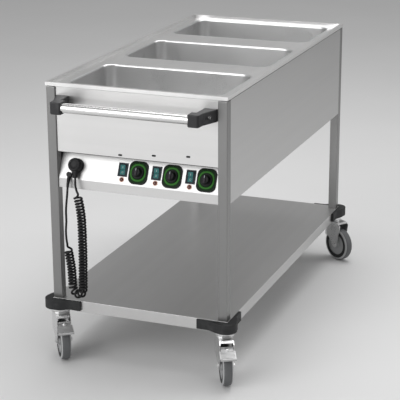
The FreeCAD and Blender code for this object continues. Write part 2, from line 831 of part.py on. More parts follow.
def handle_screws():
    """Two socket screws that hold the brackets to the front panel, each with its nut."""
    screws = []
    for side, sign in SIDES.items():
        seat_y = FRONT_FACE - S.screw_seat
        back_y = FRONT_FACE + S.screw_tail
        shank = cylinder(f"screw_shank_{side}", S.screw_radius, S.screw_tail + S.screw_seat,
                         sign * S.screw_x, back_y, HANDLE_LEVEL, Size.of(90))
        head = cylinder(f"screw_head_{side}", S.screw_head_radius, S.screw_head_length,
                        sign * S.screw_x, seat_y, HANDLE_LEVEL, Size.of(90))
        nut = cylinder(f"screw_nut_{side}", S.screw_head_radius, S.screw_head_length - 1,
                       sign * S.screw_x, FRONT_FACE + S.sheet_gauge + S.screw_head_length - 1,
                       HANDLE_LEVEL, Size.of(90))
        socket = cylinder(f"screw_socket_{side}", S.screw_radius - 0.5, S.screw_head_length / 2,
                          sign * S.screw_x, seat_y - S.screw_head_length / 2, HANDLE_LEVEL,
                          Size.of(90))
        screws.append(cut(f"screw_{side}", fuse(f"screw_form_{side}", shank, head, nut), socket))
    return group("handle_screws", screws)


# ---------------------------------------------------------------- controls


def knob_bezels():
    """Rounded-square plates under the knobs, with a raised dial ring."""
    bezels = []
    for number, side in enumerate(PLACES):
        body = new_body(f"bezel_plate_{side}")
        sketch = new_sketch(body, f"bezel_outline_{side}", "XY_Plane")
        rounded_rectangle(sketch, S.bezel_width / 2, S.bezel_height / 2, S.bezel_corner)
        plate = pad(body, sketch, S.bezel_thick)
        round_edges(body, plate, S.bezel_edge, at_level(S.bezel_thick))
        hole = cylinder(f"bezel_hole_{side}", S.bush_radius + S.panel_hole_gap, 2 * S.bezel_thick,
                        0, 0, -S.bezel_thick / 2)
        bezels.append(on_panel(cut(f"bezel_{side}", body, hole), control_x(number), S.knob_rise))
    return group("knob_bezels", bezels)


def thermostats():
    """Thermostat bodies behind the panel, each with the bush that carries a knob's shaft."""
    bodies = []
    half = S.thermostat_side / 2
    back = -(S.sheet_gauge + S.thermostat_depth)
    for number, side in enumerate(PLACES):
        case = box(f"thermostat_case_{side}", (-half, half), (-half, half), (back, -S.sheet_gauge))
        bush = cylinder(f"thermostat_bush_{side}", S.bush_radius, S.bezel_thick + S.sheet_gauge,
                        0, 0, -S.sheet_gauge)
        bore = cylinder(f"thermostat_bore_{side}", S.shaft_radius + S.shaft_fit,
                        S.thermostat_depth + S.bezel_thick + S.sheet_gauge, 0, 0,
                        back + S.thermostat_depth / 4)
        item = cut(f"thermostat_{side}", fuse(f"thermostat_form_{side}", case, bush), bore)
        bodies.append(on_panel(item, control_x(number), S.knob_rise))
    return group("thermostats", bodies)


def knob(name, number):
    """A knob with a flange, a tapered grip, a raised bar and its own shaft."""
    low = S.bezel_thick + S.knob_gap
    flange = cylinder(f"{name}_flange", S.knob_flange_radius, S.knob_flange_thick, 0, 0, low)
    grip = cone(f"{name}_grip", S.knob_grip_radius, S.knob_grip_top, S.knob_grip_height, 0, 0,
                low + S.knob_flange_thick)
    top = low + S.knob_flange_thick + S.knob_grip_height
    half = S.knob_bar_width / 2
    bar = box(f"{name}_bar", (-half, half), (-S.knob_grip_top, S.knob_grip_top),
              (top, top + S.knob_bar_height))
    shaft = cylinder(f"{name}_shaft", S.shaft_radius, S.thermostat_depth / 2 + low, 0, 0,
                     -S.thermostat_depth / 2)
    form = fuse(name, flange, grip, bar, shaft)
    return on_panel(form, control_x(number), S.knob_rise)


def switch_block(name, half_x, half_y, low, high):
    """A block centred on its own axis, between two levels."""
    body = new_body(name)
    sketch = new_sketch(body, f"{name}_section", "XY_Plane", low)
    outline(sketch, [(-half_x, -half_y), (half_x, -half_y), (half_x, half_y), (-half_x, half_y)])
    pad(body, sketch, Size.of(high) - low)
    return body


def switch_housings():
    """Frames and bodies of the rocker switches, hollow where the rocker swings."""
    housings = []
    for number, side in enumerate(PLACES):
        frame = switch_block(f"switch_frame_{side}", S.switch_frame_width / 2,
                             S.switch_frame_height / 2, 0, S.switch_frame_thick)
        back = switch_block(f"switch_back_{side}", S.switch_body_width / 2,
                            S.switch_body_height / 2, -S.switch_body_depth, 0)
        hollow = switch_block(f"switch_hollow_{side}", S.rocker_width / 2 + S.rocker_gap,
                              S.rocker_height / 2 + 2 * S.rocker_gap, -S.switch_well_depth,
                              S.switch_frame_thick + 1)
        pin_reach = S.switch_body_width / 2 - S.rocker_gap / 2
        pin_way = cylinder(f"switch_pin_way_{side}", S.rocker_pin_radius + S.shaft_fit,
                           2 * pin_reach, -pin_reach, 0, 0, Size.of(90), (0, 1, 0))
        form = fuse(f"switch_form_{side}", frame, back)
        item = cut(f"switch_{side}", form, hollow, pin_way)
        housings.append(on_panel(item, control_x(number) - S.switch_offset, S.switch_rise))
    return group("switch_housings", housings)


def rocker(name, number):
    """A dished rocker on two pins, resting tipped to one side."""
    half = S.rocker_height / 2
    body = new_body(f"{name}_key")
    sketch = new_sketch(body, f"{name}_side", "YZ_Plane")
    shoulder = half - 1
    outline(sketch, [(-half, S.rocker_rise), (-shoulder, -S.rocker_rise / 2),
                     (-shoulder / 2, -S.rocker_drop), (shoulder / 2, -S.rocker_drop),
                     (shoulder, -S.rocker_rise / 2), (half, S.rocker_rise),
                     (Size.of(0), S.rocker_dish)])
    pad(body, sketch, S.rocker_width, both=True)
    reach = S.switch_body_width / 2 - S.rocker_gap
    pin = cylinder(f"{name}_pin", S.rocker_pin_radius, 2 * reach, -reach, 0, 0, Size.of(90), (0, 1, 0))
    form = fuse(name, body, pin)
    return on_panel(form, control_x(number) - S.switch_offset, S.switch_rise, swing=S.rocker_swing)


def pilot_lamps():
    """Lamps under the switches: collar, domed lens and the barrel behind the panel."""
    lamps = []
    for number, side in enumerate(PLACES):
        collar = cylinder(f"lamp_collar_{side}", S.lamp_radius, S.lamp_rise_height / 2)
        lens = cone(f"lamp_lens_{side}", S.lamp_lens_radius, S.lamp_lens_radius * 0.7,
                    S.lamp_rise_height, 0, 0, S.lamp_rise_height / 2)
        barrel = cylinder(f"lamp_barrel_{side}", S.lamp_barrel_radius, S.lamp_barrel_depth, 0, 0,
                          -S.lamp_barrel_depth)
        item = fuse(f"lamp_{side}", collar, lens, barrel)
        lamps.append(on_panel(item, control_x(number) - S.switch_offset, S.lamp_rise))
    return group("pilot_lamps", lamps)


# ---------------------------------------------------------------- plug, holder and gland


def pin_places():
    return [(side, sign * S.pin_spread / 2) for side, sign in SIDES.items()]


def plug_holder():
    """A parking socket in the panel: flange, barrel and two bores for the plug's pins."""
    flange = cylinder("holder_flange", S.holder_radius, S.holder_thick)
    barrel = cylinder("holder_barrel", S.holder_barrel_radius, S.holder_depth, 0, 0, -S.holder_depth)
    bores = [cylinder(f"holder_bore_{side}", S.pin_radius + 0.2, S.pin_length + 2, x, 0,
                      S.holder_thick - S.pin_length - 1) for side, x in pin_places()]
    item = cut("plug_holder", fuse("holder_form", flange, barrel), *bores)
    return on_panel(item, S.plug_x, S.plug_rise, spin=S.plug_turn)


def plug():
    """An angled mains plug: round head with two pins and a neck that tapers to the cord."""
    low = S.holder_thick
    body = new_body("plug_head")
    sketch = new_sketch(body, "plug_head_side", "XZ_Plane")
    top = low + S.plug_thick
    near = S.plug_radius - S.plug_round
    outline(sketch, [(Size.of(0), low), (S.plug_radius, low), (S.plug_radius, top - S.plug_round),
                     (S.plug_radius - S.plug_round * 0.3, top - S.plug_round * 0.3), (near, top),
                     (Size.of(0), top)])
    turned = body.newObject("PartDesign::Revolution", "plug_head_turned")
    turned.Profile = sketch
    turned.ReferenceAxis = (sketch, ["V_Axis"])
    turned.Angle = 360
    neck = cone("plug_neck", S.plug_neck_start, S.plug_neck_end, S.plug_neck_length, 0, 0,
                S.plug_neck_level, Size.of(90))
    floor = box("plug_neck_floor", (-S.plug_radius, S.plug_radius),
                (-S.plug_neck_length - 1, 0), (-S.plug_radius, low))
    pins = [cylinder(f"plug_pin_{side}", S.pin_radius, S.pin_length, x, 0, low - S.pin_length)
            for side, x in pin_places()]
    item = fuse("plug", body, cut("plug_neck_flat", neck, floor), *pins)
    return on_panel(item, S.plug_x, S.plug_rise, spin=S.plug_turn)


def cable_gland():
    """An elbow gland: barrel and nut through the panel, outlet pointing down the slope."""
    dome = cylinder("gland_dome", S.gland_radius, S.gland_height)
    outlet = cylinder("gland_outlet", S.gland_outlet_radius, S.gland_outlet_length, 0, 0,
                      S.gland_outlet_level, Size.of(90))
    barrel = cylinder("gland_barrel", S.gland_barrel_radius, 3 * S.gland_nut_thick, 0, 0,
                      -3 * S.gland_nut_thick)
    nut = cylinder("gland_nut", S.gland_nut_radius, S.gland_nut_thick, 0, 0,
                   -S.sheet_gauge - S.gland_nut_thick)
    return on_panel(fuse("cable_gland", dome, outlet, barrel, nut), S.gland_x, S.gland_rise)


# ---------------------------------------------------------------- cord


def panel_point(x, rise, lift):
    """A point on the inclined panel, in the trolley's frame."""
    lean = math.radians(S.panel_tilt.value)
    return Vector(x, FRONT_FACE.value + rise * math.sin(lean) - lift * math.cos(lean),
                  S.skirt_top.value + rise * math.cos(lean) + lift * math.sin(lean))


def panel_direction(x, rise):
    return panel_point(x, rise, 0) - panel_point(0, 0, 0)


def lead_start():
    """The end of the gland's outlet and the way it points."""
    start = panel_point(S.gland_x.value, S.gland_rise.value - S.gland_outlet_length.value,
                        S.gland_outlet_level.value)
    return start, panel_direction(0, -1)


def tail_start():
    """The end of the plug's neck and the way it points."""
    turn = math.radians(S.plug_turn.value)
    reach = S.plug_neck_length.value
    start = panel_point(S.plug_x.value + reach * math.sin(turn),
                        S.plug_rise.value - reach * math.cos(turn), S.plug_neck_level.value)
    return start, panel_direction(math.sin(turn), -math.cos(turn))


def half_turn(start, end, count=6):
    """Points on the half circle that hangs below two points at one level."""
    middle = (start + end) * 0.5
    reach = start - middle
    radius = reach.Length
    angles = [math.pi * step / count for step in range(count + 1)]
    return [middle + reach * math.cos(angle) - Vector(0, 0, radius * math.sin(angle))
            for angle in angles]


# the curly part: from under the plug down to the shelf, round and up again beside the leg
COIL_ROUTE = [Vector(-198, -632.3, 574.5), Vector(-192.5, -631, 546), Vector(-187, -629.8, 514),
              Vector(-184.5, -628.8, 478), Vector(-184, -628.3, 438), Vector(-184, -628, 396),
              Vector(-184.5, -627.5, 350), Vector(-186, -627, 306), Vector(-187, -626.8, 272)]
COIL_ROUTE += half_turn(Vector(-187.5, -626.6, 246), Vector(-233, -609.8, 246))
COIL_ROUTE += [Vector(-233.5, -609.7, 270), Vector(-234.5, -609.5, 302), Vector(-239.5, -610.5, 340),
               Vector(-246, -612.5, 386)]


def lead_points(coil):
    start, way = lead_start()
    return [start, start + way * 22, Vector(-231.5, -629, 560), Vector(-238, -625, 528),
            Vector(-244, -619, 494), Vector(-245, -614.5, 462), Vector(-249.5, -613.5, 430),
            *reversed(coil.run_in(-1))]


def tail_points(coil):
    start, way = tail_start()
    return [start, start + way * 13, *reversed(coil.run_in(0))]


def bent_path(points, name):
    """Straight runs joined by tangent arcs as large as the two runs allow."""
    edges = []
    radii = []
    last = points[0]
    for before, corner, after in zip(points, points[1:], points[2:]):
        arrive = (corner - before).normalize()
        leave = (after - corner).normalize()
        turn = arrive.getAngle(leave)
        shorter = min((corner - before).Length, (after - corner).Length)
        cutback = 0.45 * shorter
        radius = cutback / math.tan(turn / 2)
        radii.append(round(radius, 1))
        start = corner - arrive * cutback
        end = corner + leave * cutback
        towards = (leave - arrive).normalize()
        middle = corner + towards * (radius / math.cos(turn / 2) - radius)
        edges.append(Part.LineSegment(last, start).toShape())
        edges.append(Part.Arc(start, middle, end).toShape())
        last = end
    edges.append(Part.LineSegment(last, points[-1]).toShape())
    print(f"{name}: bend radii {radii}")
    return edges


def sweep(name, edges):
    """A round cord along joined edges, as one piece; its volume is compared with its length."""
    radius = S.cord_diameter.value / 2
    path = Part.Wire(edges)
    start = edges[0].valueAt(edges[0].FirstParameter)
    way = edges[0].tangentAt(edges[0].FirstParameter)
    section = Part.Wire([Part.Circle(start, way, radius).toShape()])
    solid = path.makePipeShell([section], True, False)
    length = sum(edge.Length for edge in edges)
    ratio = solid.Volume / (math.pi * radius ** 2 * length)
    print(f"{name}: length {length:.1f} mm, volume over section times length {ratio:.4f}")
    item = doc.addObject("Part::Feature", name)
    item.Shape = solid
    item.Placement = Placement()
    return item


def biarc(start, start_way, end, end_way):
    """Two arcs that join two points with the given directions."""
    chord = end - start
    both = start_way + end_way
    square = 2 * (1 - start_way.dot(end_way))
    along = chord.dot(both)
    if square < 1e-9:
        reach = chord.dot(chord) / (4 * chord.dot(end_way))
    else:
        reach = (-along + math.sqrt(along ** 2 + square * chord.dot(chord))) / square
    joint = (start + start_way * reach + end - end_way * reach) * 0.5
    return [bow(start, start_way, joint), bow(end, end_way * -1, joint)]


def bow(start, way, end):
    """An arc, or a straight edge, that leaves a point in a direction and reaches another."""
    chord = end - start
    angle = way.getAngle(chord)
    if angle < 1e-4:
        return (start, None, end)
    across = (way - chord * (way.dot(chord) / chord.dot(chord))).normalize()
    return (start, (start + end) * 0.5 + across * (chord.Length / 2 * math.tan(angle / 2)), end)


class Coil:
    """A cord wound round a curved axis; the turns spread where the axis bends."""

    STEP = 0.5

    def __init__(self, route, straight):
        self.axis = Part.BSplineCurve()
        self.axis.interpolate(route)
        self.length = self.axis.length()
        self.straight = straight
        self.samples = []
        count = int(self.length / self.STEP)
        across = None
        angle = 0.0
        for number in range(count + 1):
            reach = self.length * number / count
            parameter = self.axis.parameterAtDistance(reach)
            way = self.axis.tangent(parameter)[0]
            if across is None:
                across = way.cross(Vector(0, 1, 0)).normalize()
            across = (across - way * across.dot(way)).normalize()
            if straight < reach < self.length - straight:
                bend = self.axis.curvature(parameter)
                opened = S.curl_close.value / (1 - bend * S.curl_radius.value)
                angle += 2 * math.pi * (self.length / count) / max(S.curl_pitch.value, opened)
            self.samples.append((reach, self.axis.value(parameter), way, across, angle))
        self.turns = angle / (2 * math.pi)

    def at_sample(self, number):
        """The wire's place at a sample along the axis."""
        reach, centre, way, across, angle = self.samples[number]
        end_gap = min(reach, self.length - reach) - self.straight
        share = min(max(end_gap / (1.5 * S.curl_pitch.value), 0), 1)
        radius = S.curl_radius.value * share * share * (3 - 2 * share)
        aside = way.cross(across)
        return centre + (across * math.cos(angle) + aside * math.sin(angle)) * radius

    def knots(self):
        """Samples half a turn apart, from the end of one straight end to the other."""
        inner = [number for number, sample in enumerate(self.samples)
                 if self.straight <= sample[0] <= self.length - self.straight]
        count = round(2 * self.turns)
        chosen = [inner[0]]
        for step in range(1, count):
            wanted = self.turns * 2 * math.pi * step / count
            chosen.append(next(number for number in inner if self.samples[number][4] >= wanted))
        return chosen + [inner[-1]]

    def run_in(self, number):
        """An end of the coil and a point a little beyond it, straight on."""
        centre, way = self.samples[number][1:3]
        beyond = -1 if number == 0 else 1
        return centre, centre + way * beyond * 2 * self.straight

    def way_at(self, number):
        return (self.at_sample(number + 1) - self.at_sample(number - 1)).normalize()

    def edges(self):
        """The wire: a straight end, biarcs of half a turn, and a straight end."""
        knots = self.knots()
        pieces = [(self.at_sample(0), None, self.at_sample(knots[0]))]
        first_way = (pieces[0][2] - pieces[0][0]).normalize()
        last_way = (self.at_sample(len(self.samples) - 1) - self.at_sample(knots[-1])).normalize()
        ways = [first_way] + [self.way_at(number) for number in knots[1:-1]] + [last_way]
        for here, there, way, next_way in zip(knots, knots[1:], ways, ways[1:]):
            first, second = biarc(self.at_sample(here), way, self.at_sample(there), next_way)
            pieces += [first, (second[2], second[1], second[0])]
        pieces.append((self.at_sample(knots[-1]), None, self.at_sample(len(self.samples) - 1)))
        return [Part.LineSegment(start, end).toShape() if middle is None
                else Part.Arc(start, middle, end).toShape() for start, middle, end in pieces]


def least_gap(edges, diameter):
    """The smallest gap between the wire and itself, measured on points about 1.5 mm apart."""
    spacing = 1.5
    points = []
    for edge in edges:
        points += edge.discretize(max(2, round(edge.Length / spacing)))[:-1]
    nearest = 1e9
    skip = int(4 * diameter / spacing)
    window = int(200 / spacing)
    for number, point in enumerate(points):
        for other in points[number + skip:number + window]:
            nearest = min(nearest, point.distanceToPoint(other))
    return nearest - diameter


def cord():
    """The lead, the curly part and the tail, which meet end to end."""
    coil = Coil(COIL_ROUTE, S.cord_diameter.value)
    edges = coil.edges()
    gap = least_gap(edges, S.cord_diameter.value)
    print(f"cord_coil: {coil.turns:.1f} turns, least gap to itself {gap:.2f} mm")
    return [sweep("cord_lead", bent_path(lead_points(coil), "cord_lead")),
            sweep("cord_coil", edges),
            sweep("cord_tail", bent_path(tail_points(coil), "cord_tail"))]


# ---------------------------------------------------------------- castors


def castor_places():
    """Each castor's name, leg signs and the angle that it rests at."""
    return [(f"{end}_{side}", sign_x, sign_y, getattr(S, f"castor_turn_{end}_{side}"))
            for end, sign_y in ENDS.items() for side, sign_x in SIDES.items()]


RACEWAY_TOP = S.leg_bottom - S.stem_cup_thick - S.castor_gap
CROWN_TOP = RACEWAY_TOP - S.raceway_thick
CROWN_BOTTOM = CROWN_TOP - S.crown_thick


def castor_stems():
    """Spigot in the leg, raceway cup under it, and the kingpin with its nut."""
    stems = []
    for name, sign_x, sign_y, _ in castor_places():
        half = S.stem_side / 2
        cup_low = S.leg_bottom - S.stem_cup_thick
        cup = cylinder(f"stem_cup_{name}", S.stem_cup_radius, S.stem_cup_thick, 0, 0, cup_low)
        spigot = box(f"stem_spigot_{name}", (-half, half), (-half, half),
                     (S.leg_bottom, S.leg_bottom + S.stem_spigot))
        nut_low = CROWN_BOTTOM - S.castor_gap - S.kingpin_nut_thick
        kingpin = cylinder(f"stem_kingpin_{name}", S.kingpin_radius, cup_low - nut_low, 0, 0, nut_low)
        nut = cylinder(f"stem_nut_{name}", S.kingpin_nut_radius, S.kingpin_nut_thick, 0, 0, nut_low)
        item = fuse(f"stem_{name}", cup, spigot, kingpin, nut)
        stems.append(place(item, sign_x * LEG_CENTRE_X, sign_y * LEG_CENTRE_Y, 0))
    return group("castor_stems", stems)


def fork_plan(name, radius, half, low, high):
    """An upright block, round at the swivel axis and drawn in behind it to the side plates."""
    side = radius * cosine(S.fork_shoulder)
    back = radius * sine(S.fork_shoulder)
    straight = S.castor_trail - S.axle_head_radius - 1
    body = new_body(f"{name}_taper")
    plan = new_sketch(body, f"{name}_plan", "XY_Plane", low)
    outline(plan, [(-side, -back), (-half, -straight), (-half, -2 * S.fork_tip),
                   (half, -2 * S.fork_tip), (half, -straight), (side, -back)])
    pad(body, plan, Size.of(high) - low)
    return fuse(name, body, cylinder(f"{name}_round", radius, Size.of(high) - low, 0, 0, low))


def fork(name, sign_x, sign_y, swivel, braked):
    """A pressed fork: raceway, a skirt bowed round the front and two side plates drawn in to the wheel."""
    trail = S.castor_trail
    axle_z = S.wheel_radius
    boss = S.fork_boss
    half = S.fork_width / 2
    crown = S.crown_radius
    front = crown + 1
    body = new_body(f"{name}_sheet")
    side = new_sketch(body, f"{name}_side", "YZ_Plane")
    outline(side, [(front, CROWN_TOP), (-S.fork_back, CROWN_TOP),
                   (-S.fork_tip, CROWN_BOTTOM - 4), (-S.fork_tip + 2, CROWN_BOTTOM - 18),
                   (-(trail + boss), axle_z), (-(trail + 0.7 * boss), axle_z - 0.7 * boss),
                   (-trail, axle_z - boss), (-(trail - 0.7 * boss), axle_z - 0.7 * boss),
                   (-S.fork_leg_start, CROWN_TOP - S.fork_skirt - 8), (front, CROWN_TOP - S.fork_skirt)])
    pad(body, side, 2 * front, both=True)
    sheet = doc.addObject("Part::MultiCommon", f"{name}_pressing")
    sheet.Shapes = [body, fork_plan(f"{name}_outside", crown, half, Size.of(0), CROWN_TOP)]
    raceway = cylinder(f"{name}_raceway", S.raceway_radius, S.raceway_thick, 0, 0, CROWN_TOP)
    form = fuse(f"{name}_form", sheet, raceway)
    through = S.fork_width + 2
    tools = [fork_plan(f"{name}_inside", crown - S.fork_plate, half - S.fork_plate, Size.of(0),
                       CROWN_BOTTOM),
             cylinder(f"{name}_kingpin_way", S.kingpin_radius + S.castor_fit,
                      S.raceway_thick + S.crown_thick + 2, 0, 0, CROWN_BOTTOM - 1),
             cylinder(f"{name}_axle_way", S.axle_radius + S.castor_fit, through, -through / 2, -trail,
                      axle_z, Size.of(90), (0, 1, 0))]
    if braked:
        tools.append(cylinder(f"{name}_pedal_way", S.pedal_pin_radius + S.castor_fit, through,
                              -through / 2, -S.pedal_pivot_back, S.pedal_pivot_level, Size.of(90),
                              (0, 1, 0)))
    return place(cut(name, form, *tools), sign_x * LEG_CENTRE_X, sign_y * LEG_CENTRE_Y, 0, swivel)


def behind(sign_x, sign_y, swivel, back):
    """A point that trails behind a castor's swivel axis."""
    return sign_x * LEG_CENTRE_X + back * sine(swivel), sign_y * LEG_CENTRE_Y - back * cosine(swivel)


def at_axle(item, sign_x, sign_y, swivel):
    x, y = behind(sign_x, sign_y, swivel, S.castor_trail)
    return place(item, x, y, S.wheel_radius, swivel)


def axle(name, sign_x, sign_y, swivel):
    half = S.fork_width / 2
    head = S.axle_head_length
    shaft = cylinder(f"{name}_shaft", S.axle_radius, S.fork_width, -half, 0, 0, Size.of(90), (0, 1, 0))
    heads = [cylinder(f"{name}_{end}", S.axle_head_radius, head, start, 0, 0, Size.of(90), (0, 1, 0))
             for end, start in (("head", -half - head), ("nut", half))]
    return at_axle(fuse(name, shaft, *heads), sign_x, sign_y, swivel)


def hub(name, sign_x, sign_y, swivel):
    """Boss, web and rim in one moulding, bored for the axle."""
    bore = S.axle_radius + S.castor_fit
    rim_outer = S.wheel_radius - S.tyre_depth
    rim_inner = rim_outer - S.rim_plate
    boss = S.boss_length / 2
    web = S.web_thick / 2
    rim = S.rim_span / 2
    body = new_body(name)
    sketch = new_sketch(body, f"{name}_half", "XY_Plane")
    outline(sketch, [(-boss, bore), (boss, bore), (boss, S.boss_radius), (web, S.boss_radius),
                     (web, rim_inner), (rim, rim_inner), (rim, rim_outer), (-rim, rim_outer),
                     (-rim, rim_inner), (-web, rim_inner), (-web, S.boss_radius),
                     (-boss, S.boss_radius)])
    revolve(body, sketch)
    return at_axle(body, sign_x, sign_y, swivel)


def tyre(name, sign_x, sign_y, swivel):
    rim_outer = S.wheel_radius - S.tyre_depth
    rim = S.rim_span / 2
    half = S.tyre_width / 2
    tread = S.tyre_flat / 2
    bulge = rim_outer + S.tyre_depth / 3
    shoulder = (half - S.tyre_draft, S.wheel_radius - S.tyre_shoulder)
    corner = (half - S.tyre_chamfer, S.wheel_radius - S.tyre_crown)
    body = new_body(name)
    sketch = new_sketch(body, f"{name}_half", "XY_Plane")
    outline(sketch, [(-rim, rim_outer), (rim, rim_outer), (half, bulge), shoulder, corner,
                     (tread, S.wheel_radius), (-tread, S.wheel_radius),
                     (-corner[0], corner[1]), (-shoulder[0], shoulder[1]), (-half, bulge)])
    revolve(body, sketch)
    return at_axle(body, sign_x, sign_y, swivel)


def brake_pedal(name, sign_x, sign_y, swivel):
    """A sloping plate on a barrel between the fork plates, wider behind them, with a turned lip."""
    thick = S.pedal_thick
    reach = S.pedal_reach
    fall = S.pedal_fall
    slope = fall / reach
    start = S.pedal_foot_start
    body = new_body(f"{name}_plate")
    arm = new_sketch(body, f"{name}_arm", "YZ_Plane")
    outline(arm, [(Size.of(0), -thick / 2), (-reach, -fall - thick / 2), (-reach, -fall + thick / 2),
                  (Size.of(0), thick / 2)])
    pad(body, arm, S.pedal_width, both=True)
    foot = new_sketch(body, f"{name}_foot", "YZ_Plane")
    outline(foot, [(-start, -start * slope - thick / 2), (-reach, -fall - thick / 2),
                   (-reach - thick, -fall - thick / 2), (-reach - thick, -fall + S.pedal_lip),
                   (-reach, -fall + S.pedal_lip), (-reach, -fall + thick / 2),
                   (-start, -start * slope + thick / 2)])
    pad(body, foot, S.pedal_foot_width, both=True)
    half = S.pedal_width / 2
    barrel = cylinder(f"{name}_barrel", S.pedal_barrel_radius, S.pedal_width, -half, 0, 0,
                      Size.of(90), (0, 1, 0))
    pin = cylinder(f"{name}_pin", S.pedal_pin_radius, S.fork_width, -S.fork_width / 2, 0, 0,
                   Size.of(90), (0, 1, 0))
    x, y = behind(sign_x, sign_y, swivel, S.pedal_pivot_back)
    return place(fuse(name, body, barrel, pin), x, y, S.pedal_pivot_level, swivel)


# ---------------------------------------------------------------- assembly


def build():
    """Make every sub-part and return the ones that are written."""
    nodes = [top_deck()]
    nodes += [well(f"well_{name}", number) for number, name in enumerate(("front", "middle", "rear"))]
    nodes += [heater_plates(), front_panel(), rear_panel(), control_panel(), bottom_cover()]
    nodes += [side_panel(f"side_panel_{side}", sign) for side, sign in SIDES.items()]
    nodes += [leg(f"leg_{end}_{side}", sign_x, sign_y)
              for end, sign_y in ENDS.items() for side, sign_x in SIDES.items()]
    nodes += [lower_shelf()]
    nodes += [placed_bumper(end, side) for end in ENDS for side in SIDES]
    nodes += [handle_bar(), handle_screws()]
    nodes += [handle_bracket(f"handle_bracket_{side}", sign) for side, sign in SIDES.items()]
    nodes += [thermostats(), knob_bezels(), switch_housings(), pilot_lamps(), panel_plugs()]
    for number, side in enumerate(PLACES):
        nodes += [knob(f"knob_{side}", number), rocker(f"rocker_{side}", number)]
    nodes += [plug_holder(), plug(), cable_gland()]
    nodes += cord()
    nodes += [castor_stems()]
    for name, sign_x, sign_y, swivel in castor_places():
        braked = sign_y < 0
        nodes += [fork(f"fork_{name}", sign_x, sign_y, swivel, braked),
                  axle(f"axle_{name}", sign_x, sign_y, swivel),
                  hub(f"hub_{name}", sign_x, sign_y, swivel),
                  tyre(f"tyre_{name}", sign_x, sign_y, swivel)]
        if braked:
            nodes.append(brake_pedal(f"brake_pedal_{name}", sign_x, sign_y, swivel))
    return nodes


def check(nodes):
    """Stop if anything failed to build."""
    for item in doc.Objects:
        failed = {"Invalid", "Error"} & set(item.State)
        if failed:
            raise RuntimeError(f"{item.Name} failed to build: {item.State}")
    for node in nodes:
        if node.Shape.isNull() or not node.Shape.isValid() or not node.Shape.Solids:
            raise RuntimeError(f"{node.Label} has no valid solid")


def main():
    nodes = build()
    doc.recompute()
    check(nodes)
    os.makedirs("parts", exist_ok=True)
    for node in nodes:
        node.Shape.exportStep(f"parts/{node.Label}.step")
    print(f"{len(nodes)} nodes written")


main()
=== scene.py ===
"""Finishes and fine pieces for the food trolley. Metres, +Z up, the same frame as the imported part."""
import math

import bpy
from mathutils import Matrix, Vector


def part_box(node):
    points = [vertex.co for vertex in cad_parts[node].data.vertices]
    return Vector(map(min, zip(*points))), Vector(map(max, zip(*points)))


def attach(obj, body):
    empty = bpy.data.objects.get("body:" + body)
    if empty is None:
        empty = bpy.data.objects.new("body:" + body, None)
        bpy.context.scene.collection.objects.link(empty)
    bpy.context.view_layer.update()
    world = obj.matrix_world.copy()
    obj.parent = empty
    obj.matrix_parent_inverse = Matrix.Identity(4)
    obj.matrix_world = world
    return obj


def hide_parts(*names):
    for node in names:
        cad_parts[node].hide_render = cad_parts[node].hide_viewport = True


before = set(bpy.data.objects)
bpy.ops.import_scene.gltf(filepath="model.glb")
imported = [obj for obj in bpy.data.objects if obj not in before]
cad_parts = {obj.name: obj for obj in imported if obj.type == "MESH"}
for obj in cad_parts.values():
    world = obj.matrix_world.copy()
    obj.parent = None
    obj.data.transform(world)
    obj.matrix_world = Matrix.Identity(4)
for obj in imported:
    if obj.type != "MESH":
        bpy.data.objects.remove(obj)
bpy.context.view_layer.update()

MM = 0.001
# Sizes and places are in millimetres and degrees unless they carry MM.

# Each corner: its side, its end, the turn of its castor and the turn of its bumper.
CASTORS = {"front_left": (-1, -1, 36, 180), "front_right": (1, -1, 28, 270),
           "rear_left": (-1, 1, 22, 90), "rear_right": (1, 1, 58, 0)}
CASTOR_X = 283
CASTOR_Y = 603
TRAIL = 38
WHEEL_RADIUS = 62.5
PEDAL_BACK = 56
PEDAL_LEVEL = 129.5
PEDAL_LEAN = 25.56
SHELF_HALF_X = 300
SHELF_HALF_Y = 620

# The inclined panel: its lean from upright and the line along its foot.
PANEL_LEAN = 25.3
PANEL_FOOT_Y = -613
PANEL_FOOT_Z = 605
PLACES = ("left", "middle", "right")

# ------------------------------------------------------------------ camera

CAMERA_ANGLES = (21.377, 17.722, -0.275)
CAMERA_PLACE = (1.69351, -4.40734, 1.88622)
CAMERA_LENS = 127.157


def look_from_photo():
    """The camera that the photograph's vanishing lines and lengths give."""
    azimuth, elevation, roll = (math.radians(angle) for angle in CAMERA_ANGLES)
    back = Vector((math.sin(azimuth) * math.cos(elevation), -math.cos(azimuth) * math.cos(elevation),
                   math.sin(elevation)))
    level = Vector((0, 0, 1)).cross(back).normalized()
    upright = back.cross(level)
    right = level * math.cos(roll) + upright * math.sin(roll)
    up = upright * math.cos(roll) - level * math.sin(roll)
    data = bpy.data.cameras.new("photo_camera")
    data.lens = CAMERA_LENS
    data.sensor_width = 36
    data.clip_end = 60
    camera = bpy.data.objects.new("photo_camera", data)
    bpy.context.scene.collection.objects.link(camera)
    turned = Matrix((right, up, back)).transposed().to_4x4()
    camera.matrix_world = Matrix.Translation(CAMERA_PLACE) @ turned
    bpy.context.scene.camera = camera


look_from_photo()

# ------------------------------------------------------------------ shader wiring


